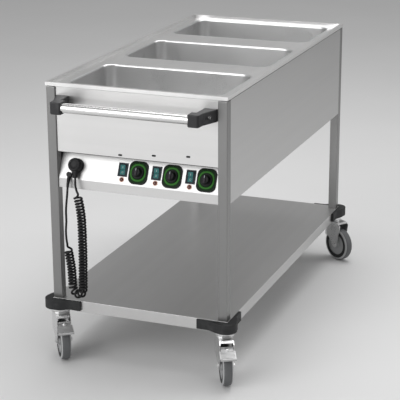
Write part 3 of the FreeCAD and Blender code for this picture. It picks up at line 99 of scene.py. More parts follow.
class Wire:
    """A node's output; arithmetic on it adds Math nodes."""

    def __init__(self, finish, socket):
        self.finish = finish
        self.socket = socket

    def _math(self, operation, *values):
        return self.finish.node("ShaderNodeMath", {"operation": operation}, dict(enumerate(values)))

    def __add__(self, other):
        return self._math("ADD", self, other)

    def __sub__(self, other):
        return self._math("SUBTRACT", self, other)

    def __mul__(self, other):
        return self._math("MULTIPLY", self, other)

    def __rsub__(self, other):
        return self._math("SUBTRACT", other, self)

    __radd__ = __add__
    __rmul__ = __mul__

    def kept(self):
        """Held between 0 and 1."""
        return self.finish.node("ShaderNodeClamp", {}, {0: self, 1: 0.0, 2: 1.0})

    def above(self, edge, soft):
        """0 below the edge and 1 above it, blended over a soft width."""
        return self.finish.node("ShaderNodeMapRange", {"interpolation_type": "SMOOTHSTEP"},
                                {0: self, 1: edge - soft, 2: edge + soft, 3: 0.0, 4: 1.0})


class Finish:
    """A procedural material round one Principled shader."""

    def __init__(self, name, **surface):
        self.material = bpy.data.materials.new(name)
        self.material.use_nodes = True
        self.tree = self.material.node_tree
        self.surface = self.tree.nodes["Principled BSDF"]
        for socket, number in surface.items():
            self.surface.inputs[socket.replace("_", " ")].default_value = number
        self._place = None

    def _plug(self, socket, value):
        if isinstance(value, Wire):
            self.tree.links.new(value.socket, socket)
        else:
            socket.default_value = value

    def node(self, kind, settings, values, output=0):
        """Any node: its settings first, then the values or wires of its sockets."""
        made = self.tree.nodes.new(kind)
        for name, setting in settings.items():
            setattr(made, name, setting)
        for socket, value in values.items():
            self._plug(made.inputs[socket], value)
        return Wire(self, made.outputs[output])

    def place(self):
        """Where a point of the piece lies, in metres."""
        if self._place is None:
            self._place = self.node("ShaderNodeTexCoord", {}, {}, "Object")
        return self._place

    def stretched(self, x, y, z):
        return self.node("ShaderNodeVectorMath", {"operation": "MULTIPLY"},
                         {0: self.place(), 1: (x, y, z)})

    def noise(self, where, scale, detail=2.0, roughness=0.5):
        return self.node("ShaderNodeTexNoise", {},
                         {"Vector": where, "Scale": scale, "Detail": detail, "Roughness": roughness})

    def edge(self, radius, gain):
        """1 along a sharp edge and 0 on the flat, from how far a rounded normal leans."""
        rounded = self.node("ShaderNodeBevel", {"samples": 6}, {"Radius": radius})
        flat = self.node("ShaderNodeNewGeometry", {}, {}, "Normal")
        lean = self.node("ShaderNodeVectorMath", {"operation": "DOT_PRODUCT"},
                         {0: rounded, 1: flat}, "Value")
        return ((1 - lean) * gain).kept()

    def mix(self, factor, low, high):
        return self.node("ShaderNodeMix", {"data_type": "RGBA"}, {0: factor, 6: low, 7: high}, 2)

    def bump(self, height, distance, strength=1.0):
        return self.node("ShaderNodeBump", {},
                         {"Height": height, "Distance": distance, "Strength": strength})

    def feed(self, socket, value):
        self._plug(self.surface.inputs[socket], value)


def grey(level, warmth=0.0):
    """An opaque grey, a little warm or cool."""
    return (level * (1 + warmth), level, level * (1 - warmth), 1.0)


# ------------------------------------------------------------------ finishes

# How often the brushed grain changes per metre, along the sheet's axis and across it.
GRAIN = {"x": (1.6, 420, 420), "y": (420, 1.6, 420), "z": (420, 420, 1.6)}
WIDE_GRAIN = 14


def brushed_steel(name, along, tone, roughness, streak=0.05, highlight_radius=0.0012):
    """Stainless sheet: a fine grain along one axis, faint long streaks, and a painted highlight along
    its edges.
    """
    finish = Finish(name, Metallic=1.0)
    fine = finish.noise(finish.stretched(*GRAIN[along]), 3.2, 3.0, 0.6)
    wide = finish.noise(finish.stretched(*(value / WIDE_GRAIN for value in GRAIN[along])), 1.0, 2.0)
    cloud = finish.noise(finish.place(), 3.5, 3.0)
    shade = (fine - 0.5) * 0.5 + (wide - 0.5) * 0.9 + (cloud - 0.5) * 0.6 + 0.5
    sheet = finish.mix(shade, grey(tone * (1 - streak), 0.004), grey(tone * (1 + streak), 0.004))
    # Painted highlight: sharp edges are lightened in the base colour, patchy with the cloud noise.
    edge_highlight_and_patches = finish.edge(highlight_radius, 2.4) * (cloud * 0.6 + 0.3)
    finish.feed("Base Color", finish.mix(edge_highlight_and_patches, sheet, grey(min(tone * 1.25, 0.92))))
    finish.feed("Roughness", (fine - 0.5) * 0.16 + (cloud - 0.5) * 0.1 - edge_highlight_and_patches * 0.08 + roughness)
    finish.feed("Normal", finish.bump(fine, 0.00006, 0.55))
    return finish.material


def satin_steel(name, tone, roughness):
    """Deep-drawn stainless: an even satin skin with a slight ripple and a few scuffs."""
    finish = Finish(name, Metallic=1.0)
    skin = finish.noise(finish.place(), 900.0, 2.0)
    ripple = finish.noise(finish.place(), 9.0, 3.0)
    scuff = finish.noise(finish.stretched(900, 60, 60), 1.0, 2.0).above(0.68, 0.05)
    finish.feed("Base Color", finish.mix(ripple, grey(tone * 0.95), grey(tone * 1.04)))
    finish.feed("Roughness", (skin - 0.5) * 0.12 + (ripple - 0.5) * 0.12 + scuff * 0.06 + roughness)
    finish.feed("Normal", finish.bump(skin * 0.2 + ripple, 0.0004, 0.25))
    return finish.material


def zinc_plate(name, tone, roughness):
    """Plated pressings: bright, faintly blue, a soft orange-peel, and a painted highlight along the
    edges.
    """
    finish = Finish(name, Metallic=1.0)
    spangle = finish.noise(finish.place(), 260.0, 2.0)
    cloud = finish.noise(finish.place(), 24.0, 3.0)
    # Painted highlight: edges lightened in patches of the cloud noise.
    edge_highlight = finish.edge(0.0011, 3.0) * cloud.above(0.5, 0.15)
    plate = finish.mix(cloud, grey(tone * 0.90, -0.015), grey(tone * 1.05, 0.01))
    finish.feed("Base Color", finish.mix(edge_highlight, plate, grey(tone * 1.2, 0.012)))
    finish.feed("Roughness", (spangle - 0.5) * 0.2 + (cloud - 0.5) * 0.15 - edge_highlight * 0.1 + roughness)
    finish.feed("Normal", finish.bump(spangle + cloud * 0.3, 0.00015, 0.22))
    return finish.material


def moulded(name, color, roughness, grain=0.3, scuff=0.15, highlight_radius=0.0014, shine=0.5):
    """Moulded plastic or rubber: a fine texture, paler in patches where hands and feet have rubbed it,
    and a painted highlight along its edges.
    """
    finish = Finish(name, Specular_IOR_Level=shine)
    pebble = finish.noise(finish.place(), 1400.0, 2.0)
    cloud = finish.noise(finish.place(), 30.0, 4.0)
    # The paler colour serves both the scuffed patches and the painted edge highlight; scuff sets how
    # pale it is.
    scuff_and_highlight_color = tuple(channel + (0.5 - channel) * scuff for channel in color[:3]) + (1.0,)
    # Painted highlight along the edges, in patches.
    edge_highlight = finish.edge(highlight_radius, 2.6) * cloud.above(0.42, 0.16)
    edge_highlight_and_patches = (cloud.above(0.62, 0.16) * 0.35 + edge_highlight).kept()
    finish.feed("Base Color", finish.mix(edge_highlight_and_patches, color, scuff_and_highlight_color))
    finish.feed("Roughness", (pebble - 0.5) * 0.1 + (cloud - 0.5) * 0.14 - edge_highlight * 0.1 + roughness)
    finish.feed("Normal", finish.bump(pebble, 0.0001, grain))
    return finish.material


def glossy(name, color, roughness=0.16, coat=0.4, shine=0.5):
    """Gloss plastic with a clear skin and fine handling marks."""
    finish = Finish(name, Coat_Roughness=0.06, Coat_Weight=coat, Specular_IOR_Level=shine)
    cloud = finish.noise(finish.place(), 60.0, 2.0)
    marks = finish.noise(finish.place(), 700.0, 3.0)
    darker = tuple(channel * 0.75 for channel in color[:3]) + (1.0,)
    finish.feed("Base Color", finish.mix(cloud, darker, color))
    finish.feed("Roughness", (cloud - 0.5) * 0.08 + (marks - 0.5) * 0.06 + roughness)
    finish.feed("Normal", finish.bump(marks, 0.00004, 0.3))
    return finish.material


# One stainless steel in several copies whose tones follow how bright each surface looks under the
# lights; the darker control panel, side panel and leg copies are painted shade.
STEEL_FRONT = brushed_steel("front_steel", "x", 0.70, 0.36)
STEEL_CONTROL_SHADED = brushed_steel("control_steel_shaded", "x", 0.64, 0.46)
STEEL_SIDE_SHADED = brushed_steel("side_steel_shaded", "y", 0.56, 0.36)
STEEL_DECK = brushed_steel("deck_steel", "y", 0.80, 0.34)
STEEL_LEG_SHADED = brushed_steel("leg_steel_shaded", "z", 0.26, 0.34, highlight_radius=0.002)
STEEL_SHELF = brushed_steel("shelf_steel", "y", 0.60, 0.38)
STEEL_WELL = satin_steel("well_steel", 0.76, 0.30)
STEEL_TUBE = brushed_steel("tube_steel", "x", 0.74, 0.25, 0.015)
ZINC = zinc_plate("zinc_plate", 0.72, 0.30)
# A darker copy of the zinc for the brake pedals, painted shade.
ZINC_PEDAL_SHADED = zinc_plate("zinc_pedal_shaded", 0.50, 0.36)
# A near-black zinc that paints the shade in the castor race's groove.
ZINC_PAINTED_SHADE = zinc_plate("zinc_painted_shade", 0.10, 0.4)
BUMPER_GREY = moulded("bumper_grey", (0.010, 0.0105, 0.0115, 1), 0.62, 0.3, 0.10)
BRACKET_BLACK = moulded("bracket_black", (0.016, 0.016, 0.018, 1), 0.5, 0.3, 0.12)
CONTROL_BLACK = moulded("control_black", (0.006, 0.0065, 0.007, 1), 0.5, 0.2, 0.05, shine=0.22)
KNOB_GREY = moulded("knob_grey", (0.022, 0.018, 0.023, 1), 0.5, 0.25, 0.1, shine=0.25)
HUB_GREY = moulded("hub_grey", (0.38, 0.385, 0.39, 1), 0.45, 0.2, 0.1)
TREAD_GREY = moulded("tread_grey", (0.11, 0.113, 0.117, 1), 0.6, 0.4, 0.14)
# A pale grey that paints a highlight on the tyres' shoulders.
SHOULDER_HIGHLIGHT_GREY = moulded("shoulder_highlight_grey", (0.42, 0.425, 0.43, 1), 0.5, 0.3, 0.1)
# Dark grey for the tyres' dark bands and the bumper screws, and for the painted shadow strip under the
# front panel.
DARK_PARTS_AND_SHADOW = moulded("dark_parts_and_shadow", (0.018, 0.0185, 0.019, 1), 0.6, 0.3, 0.1, shine=0.3)
RUBBER_BLACK = moulded("rubber_black", (0.008, 0.008, 0.009, 1), 0.5, 0.3, 0.06, shine=0.3)
SWITCH_SLATE = moulded("switch_slate", (0.014, 0.024, 0.031, 1), 0.5, 0.2, 0.05, shine=0.2)
ROCKER_TEAL = glossy("rocker_teal", (0.022, 0.17, 0.165, 1), 0.42, 0.0, 0.25)
DIAL_GREEN = glossy("dial_green", (0.036, 0.19, 0.022, 1), 0.5, 0.0, 0.15)
DIAL_FIELD = glossy("dial_field", (0.004, 0.024, 0.004, 1), 0.5, 0.0, 0.12)
LAMP_RED = glossy("lamp_red", (0.085, 0.008, 0.003, 1), 0.22, 0.25)
LAMP_RIM = glossy("lamp_rim", (0.80, 0.42, 0.28, 1), 0.3, 0.2)
MARK_WHITE = glossy("mark_white", (0.42, 0.50, 0.49, 1), 0.4, 0.0)

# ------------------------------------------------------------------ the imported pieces

PANEL_FOLD = 0.5 * MM
LEG_FOLD = 1.6 * MM
SHELF_FOLD = 0.6 * MM
BRACKET_GRAIN = 0.9 * MM


def finish_node(name, material):
    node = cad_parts[name]
    node.data.materials.clear()
    node.data.materials.append(material)


def soften(name, width):
    """Break a packed sheet or tube piece's folded edges a little."""
    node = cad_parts[name]
    weld = node.modifiers.new("weld", "WELD")
    weld.merge_threshold = 0.00001
    flat = node.modifiers.new("flat", "DECIMATE")
    flat.decimate_type = "DISSOLVE"
    flat.angle_limit = math.radians(1.5)
    bevel = node.modifiers.new("edge", "BEVEL")
    bevel.width = width
    bevel.segments = 2
    bevel.limit_method = "ANGLE"
    bevel.angle_limit = math.radians(30)
    bevel.use_clamp_overlap = False
    even = node.modifiers.new("even", "WEIGHTED_NORMAL")
    even.keep_sharp = True


def mould(name, grain, rounds):
    """Give a packed moulding the rounded edges that come out of its mould."""
    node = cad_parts[name]
    skin = node.modifiers.new("skin", "REMESH")
    skin.mode = "VOXEL"
    skin.voxel_size = grain
    skin.use_smooth_shade = True
    relax = node.modifiers.new("relax", "SMOOTH")
    relax.factor = 0.5
    relax.iterations = rounds


FINISHES = {
    STEEL_FRONT: ["front_panel", "rear_panel"],
    STEEL_CONTROL_SHADED: ["control_panel"],
    STEEL_SIDE_SHADED: ["side_panel_left", "side_panel_right", "bottom_cover", "heater_plates"],
    STEEL_DECK: ["top_deck"],
    STEEL_LEG_SHADED: ["leg_front_left", "leg_front_right", "leg_rear_left", "leg_rear_right"],
    STEEL_SHELF: ["lower_shelf"],
    STEEL_WELL: ["well_front", "well_middle", "well_rear"],
    STEEL_TUBE: ["handle_bar", "handle_screws"],
    ZINC: ["castor_stems", *(f"{kind}_{place}" for kind in ("fork", "axle") for place in CASTORS)],
    ZINC_PEDAL_SHADED: ["brake_pedal_front_left", "brake_pedal_front_right"],
    BUMPER_GREY: [f"bumper_{place}" for place in CASTORS],
    BRACKET_BLACK: ["handle_bracket_left", "handle_bracket_right"],
    CONTROL_BLACK: ["knob_bezels", "thermostats", "panel_plugs",
                    *(f"knob_{side}" for side in PLACES)],
    HUB_GREY: [f"hub_{place}" for place in CASTORS],
    TREAD_GREY: [f"tyre_{place}" for place in CASTORS],
    SWITCH_SLATE: ["switch_housings", *(f"rocker_{side}" for side in PLACES)],
    LAMP_RIM: ["pilot_lamps"],
    RUBBER_BLACK: ["plug", "plug_holder", "cable_gland", "cord_lead", "cord_coil", "cord_tail"],
}
for material, names in FINISHES.items():
    for name in names:
        finish_node(name, material)
for name in ("front_panel", "control_panel", "side_panel_left", "side_panel_right", "rear_panel"):
    soften(name, PANEL_FOLD)
for name in FINISHES[STEEL_LEG_SHADED]:
    soften(name, LEG_FOLD)
soften("lower_shelf", SHELF_FOLD)
for name in FINISHES[BRACKET_BLACK]:
    mould(name, BRACKET_GRAIN, 6)

# ------------------------------------------------------------------ shaping


class Form:
    """Points and faces of one piece, in millimetres in its own frame, gathered before it is made."""

    def __init__(self, place):
        self.place = place
        self.points = []
        self.faces = []
        self.finishes = []
        self.coat = 0

    def moved(self, place):
        """Carry on in another frame; what is already there stays."""
        self.place = place
        return self

    def coated(self, number):
        """Carry on in another of the piece's finishes."""
        self.coat = number
        return self

    def add(self, points, faces):
        first = len(self.points)
        self.points += [self.place @ (Vector(point) * MM) for point in points]
        self.faces += [tuple(first + corner for corner in face) for face in faces]
        self.finishes += [self.coat] * len(faces)
        return self

    def loft(self, rings, closed=False):
        """Skin rings of equally many points, with flat ends, or round to the first ring again."""
        count = len(rings[0])
        rows = len(rings)
        faces = [(row * count + corner, row * count + (corner + 1) % count,
                  (row + 1) % rows * count + (corner + 1) % count, (row + 1) % rows * count + corner)
                 for row in range(rows if closed else rows - 1) for corner in range(count)]
        if not closed:
            faces += [tuple(reversed(range(count))), tuple(range((rows - 1) * count, rows * count))]
        return self.add([point for ring in rings for point in ring], faces)

    def turned(self, profile, count=48, flutes=0, depth=0.0, between=(0, 0), closed=False):
        """Turn (radius, height) pairs about the local Z axis, with flutes between two heights."""
        rings = []
        for radius, height in profile:
            ring = []
            for step in range(count):
                angle = 2 * math.pi * step / count
                cut = depth * (0.5 + 0.5 * math.cos(flutes * angle)) ** 2
                reach = radius - (cut if between[0] <= height <= between[1] else 0)
                ring.append((reach * math.cos(angle), reach * math.sin(angle), height))
            rings.append(ring)
        return self.loft(rings, closed)

    def slab(self, outline, low, high, edge=0.3):
        """A flat piece with a softened upper edge."""
        wide = max(abs(x) for x, y in outline)
        tall = max(abs(y) for x, y in outline)
        draw = [(x * (wide - edge) / wide, y * (tall - edge) / tall) for x, y in outline]
        return self.loft([[(x, y, low) for x, y in outline], [(x, y, high - edge) for x, y in outline],
                          [(x, y, high) for x, y in draw]])

    def band(self, outer, inner, low, high, edge=0.15):
        """A flat ring between two outlines of equally many points."""
        mid = [((a + c) / 2, (b + d) / 2) for (a, b), (c, d) in zip(outer, inner)]
        near = [(a + (c - a) * 0.1, b + (d - b) * 0.1) for (a, b), (c, d) in zip(outer, mid)]
        far = [(a + (c - a) * 0.1, b + (d - b) * 0.1) for (a, b), (c, d) in zip(inner, mid)]
        rows = ((outer, low), (outer, high - edge), (near, high), (far, high), (inner, high - edge),
                (inner, low))
        return self.loft([[(x, y, level) for x, y in line] for line, level in rows], closed=True)

    def made(self, name, body, slot, *materials, sharp=38):
        """Make the piece and let it ride on its body."""
        mesh = bpy.data.meshes.new(name)
        mesh.from_pydata(self.points, [], self.faces)
        for material in materials:
            mesh.materials.append(material)
        mesh.polygons.foreach_set("material_index", self.finishes)
        mesh.shade_smooth()
        mesh.set_sharp_from_angle(angle=math.radians(sharp))
        mesh.update()
        piece = bpy.data.objects.new(name, mesh)
        bpy.context.scene.collection.objects.link(piece)
        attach(piece, body)
        return piece


def rounded(half_x, half_y, power=2.0, count=72):
    """A closed line between an ellipse (power 2) and a rounded rectangle (a high power)."""
    line = []
    for step in range(count):
        angle = 2 * math.pi * step / count
        c, s = math.cos(angle), math.sin(angle)
        line.append((half_x * math.copysign(abs(c) ** (2 / power), c),
                     half_y * math.copysign(abs(s) ** (2 / power), s)))
    return line


def on_panel(x, rise, lift=0.0, swing=0.0, spin=0.0):
    """A frame on the inclined panel: X across, Y up the slope, Z out of the sheet."""
    lean = math.radians(PANEL_LEAN)
    origin = Vector((x, PANEL_FOOT_Y + rise * math.sin(lean) - lift * math.cos(lean),
                     PANEL_FOOT_Z + rise * math.cos(lean) + lift * math.sin(lean))) * MM
    return (Matrix.Translation(origin)
            @ Matrix.Rotation(math.radians(90 - PANEL_LEAN + swing), 4, "X")
            @ Matrix.Rotation(math.radians(spin), 4, "Z"))


def on_castor(place, back=0.0, level=0.0):
    """A frame behind a castor's swivel axis: Y points forward, X along the axle."""
    side, end, turn, _ = CASTORS[place]
    return (Matrix.Translation(Vector((side * CASTOR_X, end * CASTOR_Y, 0)) * MM)
            @ Matrix.Rotation(math.radians(turn), 4, "Z")
            @ Matrix.Translation(Vector((0, -back, level)) * MM))


def shifted(place, x=0.0, y=0.0, z=0.0, turn=0.0, about="X"):
    """A frame moved in millimetres and turned in degrees inside another one."""
    return (place @ Matrix.Translation(Vector((x, y, z)) * MM)
            @ Matrix.Rotation(math.radians(turn), 4, about))


# ------------------------------------------------------------------ controls

CONTROL_X = {"left": -1.5, "middle": 111.0, "right": 223.5}
KNOB_RISE = 41.5
SWITCH_X = -52.5
SWITCH_RISE = 46.5
SWITCH_REST = 8
LAMP_RISE = 15.5
SCALE_MARKS = 11
SCALE_STEP = 27


def dial(side):
    """The printed scale round a knob: dark green field, bright ring and its ticks."""
    face = on_panel(CONTROL_X[side], KNOB_RISE, 4)
    form = Form(face)
    form.band(rounded(28.6, 33.4, 3.4), rounded(19.0, 19.0), 0.0, 0.25, 0.1)
    form.coated(1).band(rounded(25.6, 27.6, 2.3), rounded(20.9, 22.4, 2.2), 0.1, 0.6)
    form.coated(2)
    for step in range(SCALE_MARKS):
        angle = math.radians(225 - SCALE_STEP * step)
        spot = shifted(face, 30.0 * math.cos(angle) * 0.9, 30.0 * math.sin(angle), 0.2,
                       math.degrees(angle), "Z")
        form.moved(spot).slab(rounded(1.5, 0.35, 6, 12), 0.0, 0.3, 0.08)
    form.made(f"dial_{side}", "frame", "control_black", DIAL_FIELD, DIAL_GREEN, DIAL_GREEN)


def fluted_knob(side):
    """A turned knob with a fluted grip, a raised bar across it and a white pointer."""
    axis = on_panel(CONTROL_X[side], KNOB_RISE)
    form = Form(axis)
    form.turned([(3, -14), (3, 4.5), (18.1, 4.5), (18.5, 5.0), (18.5, 6.8), (18.1, 7.4), (15.6, 7.6),
                 (14.3, 8.1), (14.0, 8.8), (13.9, 10), (13.4, 15), (13.0, 19), (12.8, 20.6),
                 (12.5, 21.6), (11.8, 22.3), (10.8, 22.5), (9.6, 22.3), (8.8, 22.2)],
                120, 20, 0.75, (8.7, 20.7))
    bar = rounded(3.5, 12.4, 5.5, 48)
    form.coated(1).slab(bar, 22.0, 25.5, 0.9)
    form.moved(shifted(axis, 0, 7.6, 25.3)).coated(2).slab(rounded(0.75, 4.0, 6, 20), 0, 0.35, 0.12)
    piece = form.made(f"grip_{side}", f"knob_{side}", "control_black", CONTROL_BLACK, KNOB_GREY,
                      MARK_WHITE)
    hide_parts(f"knob_{side}")


def switch_lens(side):
    """Green windows on a rocker's two halves, with the moulded bar and ring."""
    face = on_panel(CONTROL_X[side] + SWITCH_X, SWITCH_RISE, swing=SWITCH_REST)
    form = Form(face)
    for way in (1, -1):
        half = shifted(face, 0, way * 7.9, 3.37, way * 8.43)
        form.moved(half).coated(0).slab(rounded(8.0, 7.5, 9, 40), -0.4, 0.45, 0.25)
        form.coated(1)
        if way > 0:
            form.slab(rounded(0.8, 3.2, 6, 16), 0.3, 0.7, 0.1)
        else:
            form.band(rounded(2.8, 3.2, 2, 32), rounded(1.9, 2.3, 2, 32), 0.3, 0.7)
    form.made(f"window_{side}", f"rocker_{side}", "rocker_green", ROCKER_TEAL, MARK_WHITE)


def lamp_lens(side):
    """A small ribbed dome over a pilot lamp."""
    form = Form(on_panel(CONTROL_X[side] + SWITCH_X, LAMP_RISE))
    form.turned([(6.2, 0.8), (6.2, 1.9), (6.0, 2.5), (5.4, 3.1), (4.5, 3.6), (3.3, 4.0), (1.8, 4.25),
                 (0.5, 4.35)], 48, 12, 0.25, (1.5, 3.3))
    form.made(f"lens_{side}", "frame", "lamp_amber", LAMP_RED)


for side in PLACES:
    dial(side)
    fluted_knob(side)
    switch_lens(side)
    lamp_lens(side)

# ------------------------------------------------------------------ castors


def axle(place):
    """A frame at the middle of a castor's axle, Z along it."""
    return shifted(on_castor(place, TRAIL, WHEEL_RADIUS), turn=90, about="Y")


def axle_bolt(place):
    """A hexagon bolt through the fork with a washer and nut."""
    side = axle(place)
    form = Form(side).turned([(5, -23.2), (5, 23.2)], 32)
    for way in (0, 180):
        end = shifted(side, turn=way, about="X")
        form.moved(end).turned([(7.9, 22.9), (8.0, 23.2), (8.0, 24.0), (7.7, 24.2)], 40)
        flats = [(7.3 * math.cos(math.pi * step / 3), 7.3 * math.sin(math.pi * step / 3))
                 for step in range(6)]
        form.slab(flats, 24.0, 28.0, 0.8)
    form.moved(side).turned([(3.6, -28.6), (3.6, -27.8)], 24)
    piece = form.made(f"bolt_{place}", f"castor_{place}", "zinc_steel", ZINC, sharp=25)
    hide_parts(f"axle_{place}")


def wheel_trim(place):
    """Dark bands between tyre and hub, and a pale band on each tyre shoulder as a painted highlight."""
    side = axle(place)
    form = Form(side)
    for way in (0, 180):
        end = shifted(side, turn=way, about="X")
        form.moved(end).turned([(40.3, 14.6), (40.6, 15.3), (44.5, 15.5), (48.2, 15.6), (52.2, 16.2),
                                (53.2, 16.05), (53.2, 15.4), (48.2, 14.7)], 96, closed=True)
        # The pale shoulder band, a painted highlight.
        form.coated(1).turned([(53.5, 15.2), (53.6, 15.95), (55.5, 15.5), (58.4, 14.78), (60.1, 13.1),
                               (60.1, 12.4), (58.0, 13.9), (55.5, 14.8)], 96, closed=True)
        form.coated(0)
    form.made(f"bead_{place}", f"wheel_{place}", "grey_tread", DARK_PARTS_AND_SHADOW, SHOULDER_HIGHLIGHT_GREY)


def race_rim_and_shade_band(place):
    """The rolled edge of a castor's ball race, with a dark band in its groove as painted shade."""
    form = Form(on_castor(place))
    form.turned([(29.0, 150.9), (30.3, 151.1), (30.6, 151.7), (30.6, 153.9), (30.3, 154.5),
                 (29.0, 154.7)], 72, closed=True)
    # The dark band in the groove, painted shade.
    form.coated(1).turned([(29.0, 154.9), (30.2, 155.0), (30.3, 155.4), (30.2, 156.3), (29.0, 156.5)],
                          72, closed=True)
    form.made(f"race_shade_{place}", f"castor_{place}", "zinc_steel", ZINC, ZINC_PAINTED_SHADE)


def pedal_tread(place):
    """Ridges, a rivet and a rolled lip on a brake pedal."""
    pivot = on_castor(place, PEDAL_BACK, PEDAL_LEVEL)
    plate = shifted(pivot, turn=PEDAL_LEAN)
    form = Form(plate)
    for step in range(6):
        spot = -17.5 - 5.2 * step
        ridge = [[(x, spot - 1.0, 1.2), (x, spot - 0.6, 2.0), (x, spot, 2.25), (x, spot + 0.6, 2.0),
                  (x, spot + 1.0, 1.2)] for x in (-22.5, -22.0, 22.0, 22.5)]
        form.loft(ridge)
    form.coated(1).moved(shifted(plate, 0, -8.0, 1.2))
    form.turned([(6.6, -0.3), (6.5, 0.5), (5.6, 1.5), (3.8, 2.2), (1.5, 2.5)], 40)
    lip = shifted(pivot, 0, -47.5, -18.2, 90, "Y")
    form.moved(lip).turned([(1.2, -25), (1.9, -24.6), (1.9, 24.6), (1.2, 25)], 20)
    form.made(f"tread_{place}", f"pedal_{place}", "zinc_steel", ZINC_PEDAL_SHADED, ZINC)


for place in CASTORS:
    axle_bolt(place)
    wheel_trim(place)
    race_rim_and_shade_band(place)
for place in ("front_left", "front_right"):
    pedal_tread(place)

# ------------------------------------------------------------------ bumpers and the painted shadow strip

BUMPER_LEVELS = (168, 200)
ARM_REACH = 100
ARM_THICK = 9.6
NOSE_INSET = 6
NOSE_RADIUS = 34
NOSE_START = -24.3
FLARE_START = 66
FLARE_LONG = 46
FLARE_DEEP = 15.4
SCREW_REACHES = (70, 88)


def corner_bumper(place):
    """A moulded corner: two arms screwed to the shelf's lips and a round nose between them."""
    side, end, _, turn = CASTORS[place]
    corner = (Matrix.Translation(Vector((side * SHELF_HALF_X, end * SHELF_HALF_Y, 0)) * MM)
              @ Matrix.Rotation(math.radians(turn), 4, "Z"))
    sweep = 90 - 2 * NOSE_START
    nose = [(-NOSE_INSET + NOSE_RADIUS * math.cos(angle), -NOSE_INSET + NOSE_RADIUS * math.sin(angle))
            for angle in (math.radians(NOSE_START + sweep * step / 20) for step in range(21))]
    flare = [(ARM_THICK + FLARE_DEEP * part * part * (3 - 2 * part), -FLARE_START + FLARE_LONG * part)
             for part in (step / 12 for step in range(12))]
    mirrored = [(y, x) for x, y in reversed(flare)]
    plan = [(0, -ARM_REACH), (ARM_THICK, -ARM_REACH), *flare, *nose, *mirrored,
            (-ARM_REACH, ARM_THICK), (-ARM_REACH, 0), (0, 0)]
    form = Form(corner)
    form.loft([[(x, y, level) for x, y in plan] for level in BUMPER_LEVELS])
    piece = form.made(f"guard_{place}", "frame", "bumper_grey", BUMPER_GREY, sharp=50)
    bevel = piece.modifiers.new("moulded_edge", "BEVEL")
    bevel.width = 1.8 * MM
    bevel.segments = 3
    bevel.limit_method = "ANGLE"
    bevel.angle_limit = math.radians(35)
    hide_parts(f"bumper_{place}")
    screws = Form(corner)
    head = [(3.8, -1.0), (3.8, 0.05), (3.4, 0.25), (1.8, 0.2), (1.5, -0.3), (0.4, -0.4)]
    face = ARM_THICK + 0.3
    for reach in SCREW_REACHES:
        screws.moved(shifted(corner, -reach, face, 178, -90, "X")).turned(head, 24)
    for reach in SCREW_REACHES:
        screws.moved(shifted(corner, face, -reach, 178, 90, "Y")).turned(head, 24)
    screws.made(f"screws_{place}", "frame", "bumper_grey", DARK_PARTS_AND_SHADOW)


def panel_shadow_strip():
    """A dark strip along the front panel's lower edge, as a painted shadow line."""
    low, high = (corner / MM for corner in (Vector(end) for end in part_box("front_panel")))
    middle = (low.x + high.x) / 2
    form = Form(Matrix.Translation(Vector((middle, low.y, low.z)) * MM))
    half = (high.x - low.x) / 2 - 2
    section = [(-0.25, 0.9), (-0.25, -0.5), (0.1, -0.9), (1.7, -0.9), (2.0, -0.5), (2.0, 0.9)]
    form.loft([[(x, y, z) for y, z in section] for x in (-half, half)])
    form.made("panel_shadow_strip", "frame", "trim_dark", DARK_PARTS_AND_SHADOW)


for place in CASTORS:
    corner_bumper(place)
panel_shadow_strip()

# ------------------------------------------------------------------ cord

CORD_DIAMETER = 7 * MM
CURL_RADIUS = 11.5 * MM
CURL_PITCH = 9.8 * MM
CURL_START = 22 * MM
START_OPEN = 6
CURL_CLOSE = 8.3 * MM
CURL_STEPS = 12
STRAIGHT = 1 * MM
FINE_STEP = 0.5 * MM

LEAD_ROUTE = [(-229, -621.09, 606.61), (-229, -630.49, 586.72), (-231.5, -629, 560),
              (-238, -625, 528), (-244, -619, 494), (-245, -614.5, 462), (-249.5, -613.5, 430),
              (-248, -613.1, 399.9)]
HANG_ROUTE = [(-246, -612.5, 386), (-239.5, -610.5, 340), (-234.5, -609.5, 302),
              (-233.5, -609.7, 270)]
TURN_ENDS = ((-233, -609.8, 246), (-187.5, -626.6, 246))
RISE_ROUTE = [(-187, -626.8, 272), (-186, -627, 306), (-184.5, -627.5, 350), (-184, -628, 396),
              (-184, -628.3, 438), (-184.5, -628.8, 478), (-187, -629.8, 514), (-192.5, -631, 546),
              (-198, -632.3, 574.5)]
PLUG_X = -211
PLUG_RISE = 43
PLUG_SPIN = 10
TAIL_ROUTE = [(-200.65, -632.93, 588.23), (-201.62, -630.91, 602.21), (-203.88, -625.44, 613.78)]


def nurbs(name, points, radius=0.0):
    """A smooth line whose control points are the given ones."""
    curve = bpy.data.curves.new(name, "CURVE")
    curve.dimensions = "3D"
    spline = curve.splines.new("NURBS")
    spline.points.add(len(points) - 1)
    for slot, point in zip(spline.points, points):
        slot.co = (*point, 1)
    spline.order_u = 3
    spline.use_endpoint_u = True
    curve.bevel_depth = radius
    curve.use_fill_caps = radius > 0
    piece = bpy.data.objects.new(name, curve)
    bpy.context.scene.collection.objects.link(piece)
    return piece


def metres(route):
    return [Vector(point) * MM for point in route]


def half_turn(start, end, count=6):
    """Points on the half circle that hangs below two points at one level."""
    middle = (start + end) / 2
    reach = start - middle
    down = Vector((0, 0, reach.length))
    return [middle + reach * math.cos(math.pi * step / count) - down * math.sin(math.pi * step / count)
            for step in range(count + 1)]


def line_points(piece):
    """The points of a curve's own line."""
    mesh = bpy.data.meshes.new_from_object(piece)
    points = [vertex.co.copy() for vertex in mesh.vertices]
    bpy.data.meshes.remove(mesh)
    return points


def evenly(points, step):
    """Points a steady distance apart along a line of many points."""
    lengths = [0.0]
    for before, after in zip(points, points[1:]):
        lengths.append(lengths[-1] + (after - before).length)
    count = int(lengths[-1] / step)
    spread = []
    part = 0
    for number in range(count + 1):
        wanted = lengths[-1] * number / count
        while part < len(points) - 2 and lengths[part + 1] < wanted:
            part += 1
        share = (wanted - lengths[part]) / (lengths[part + 1] - lengths[part])
        spread.append(points[part].lerp(points[part + 1], share))
    return spread


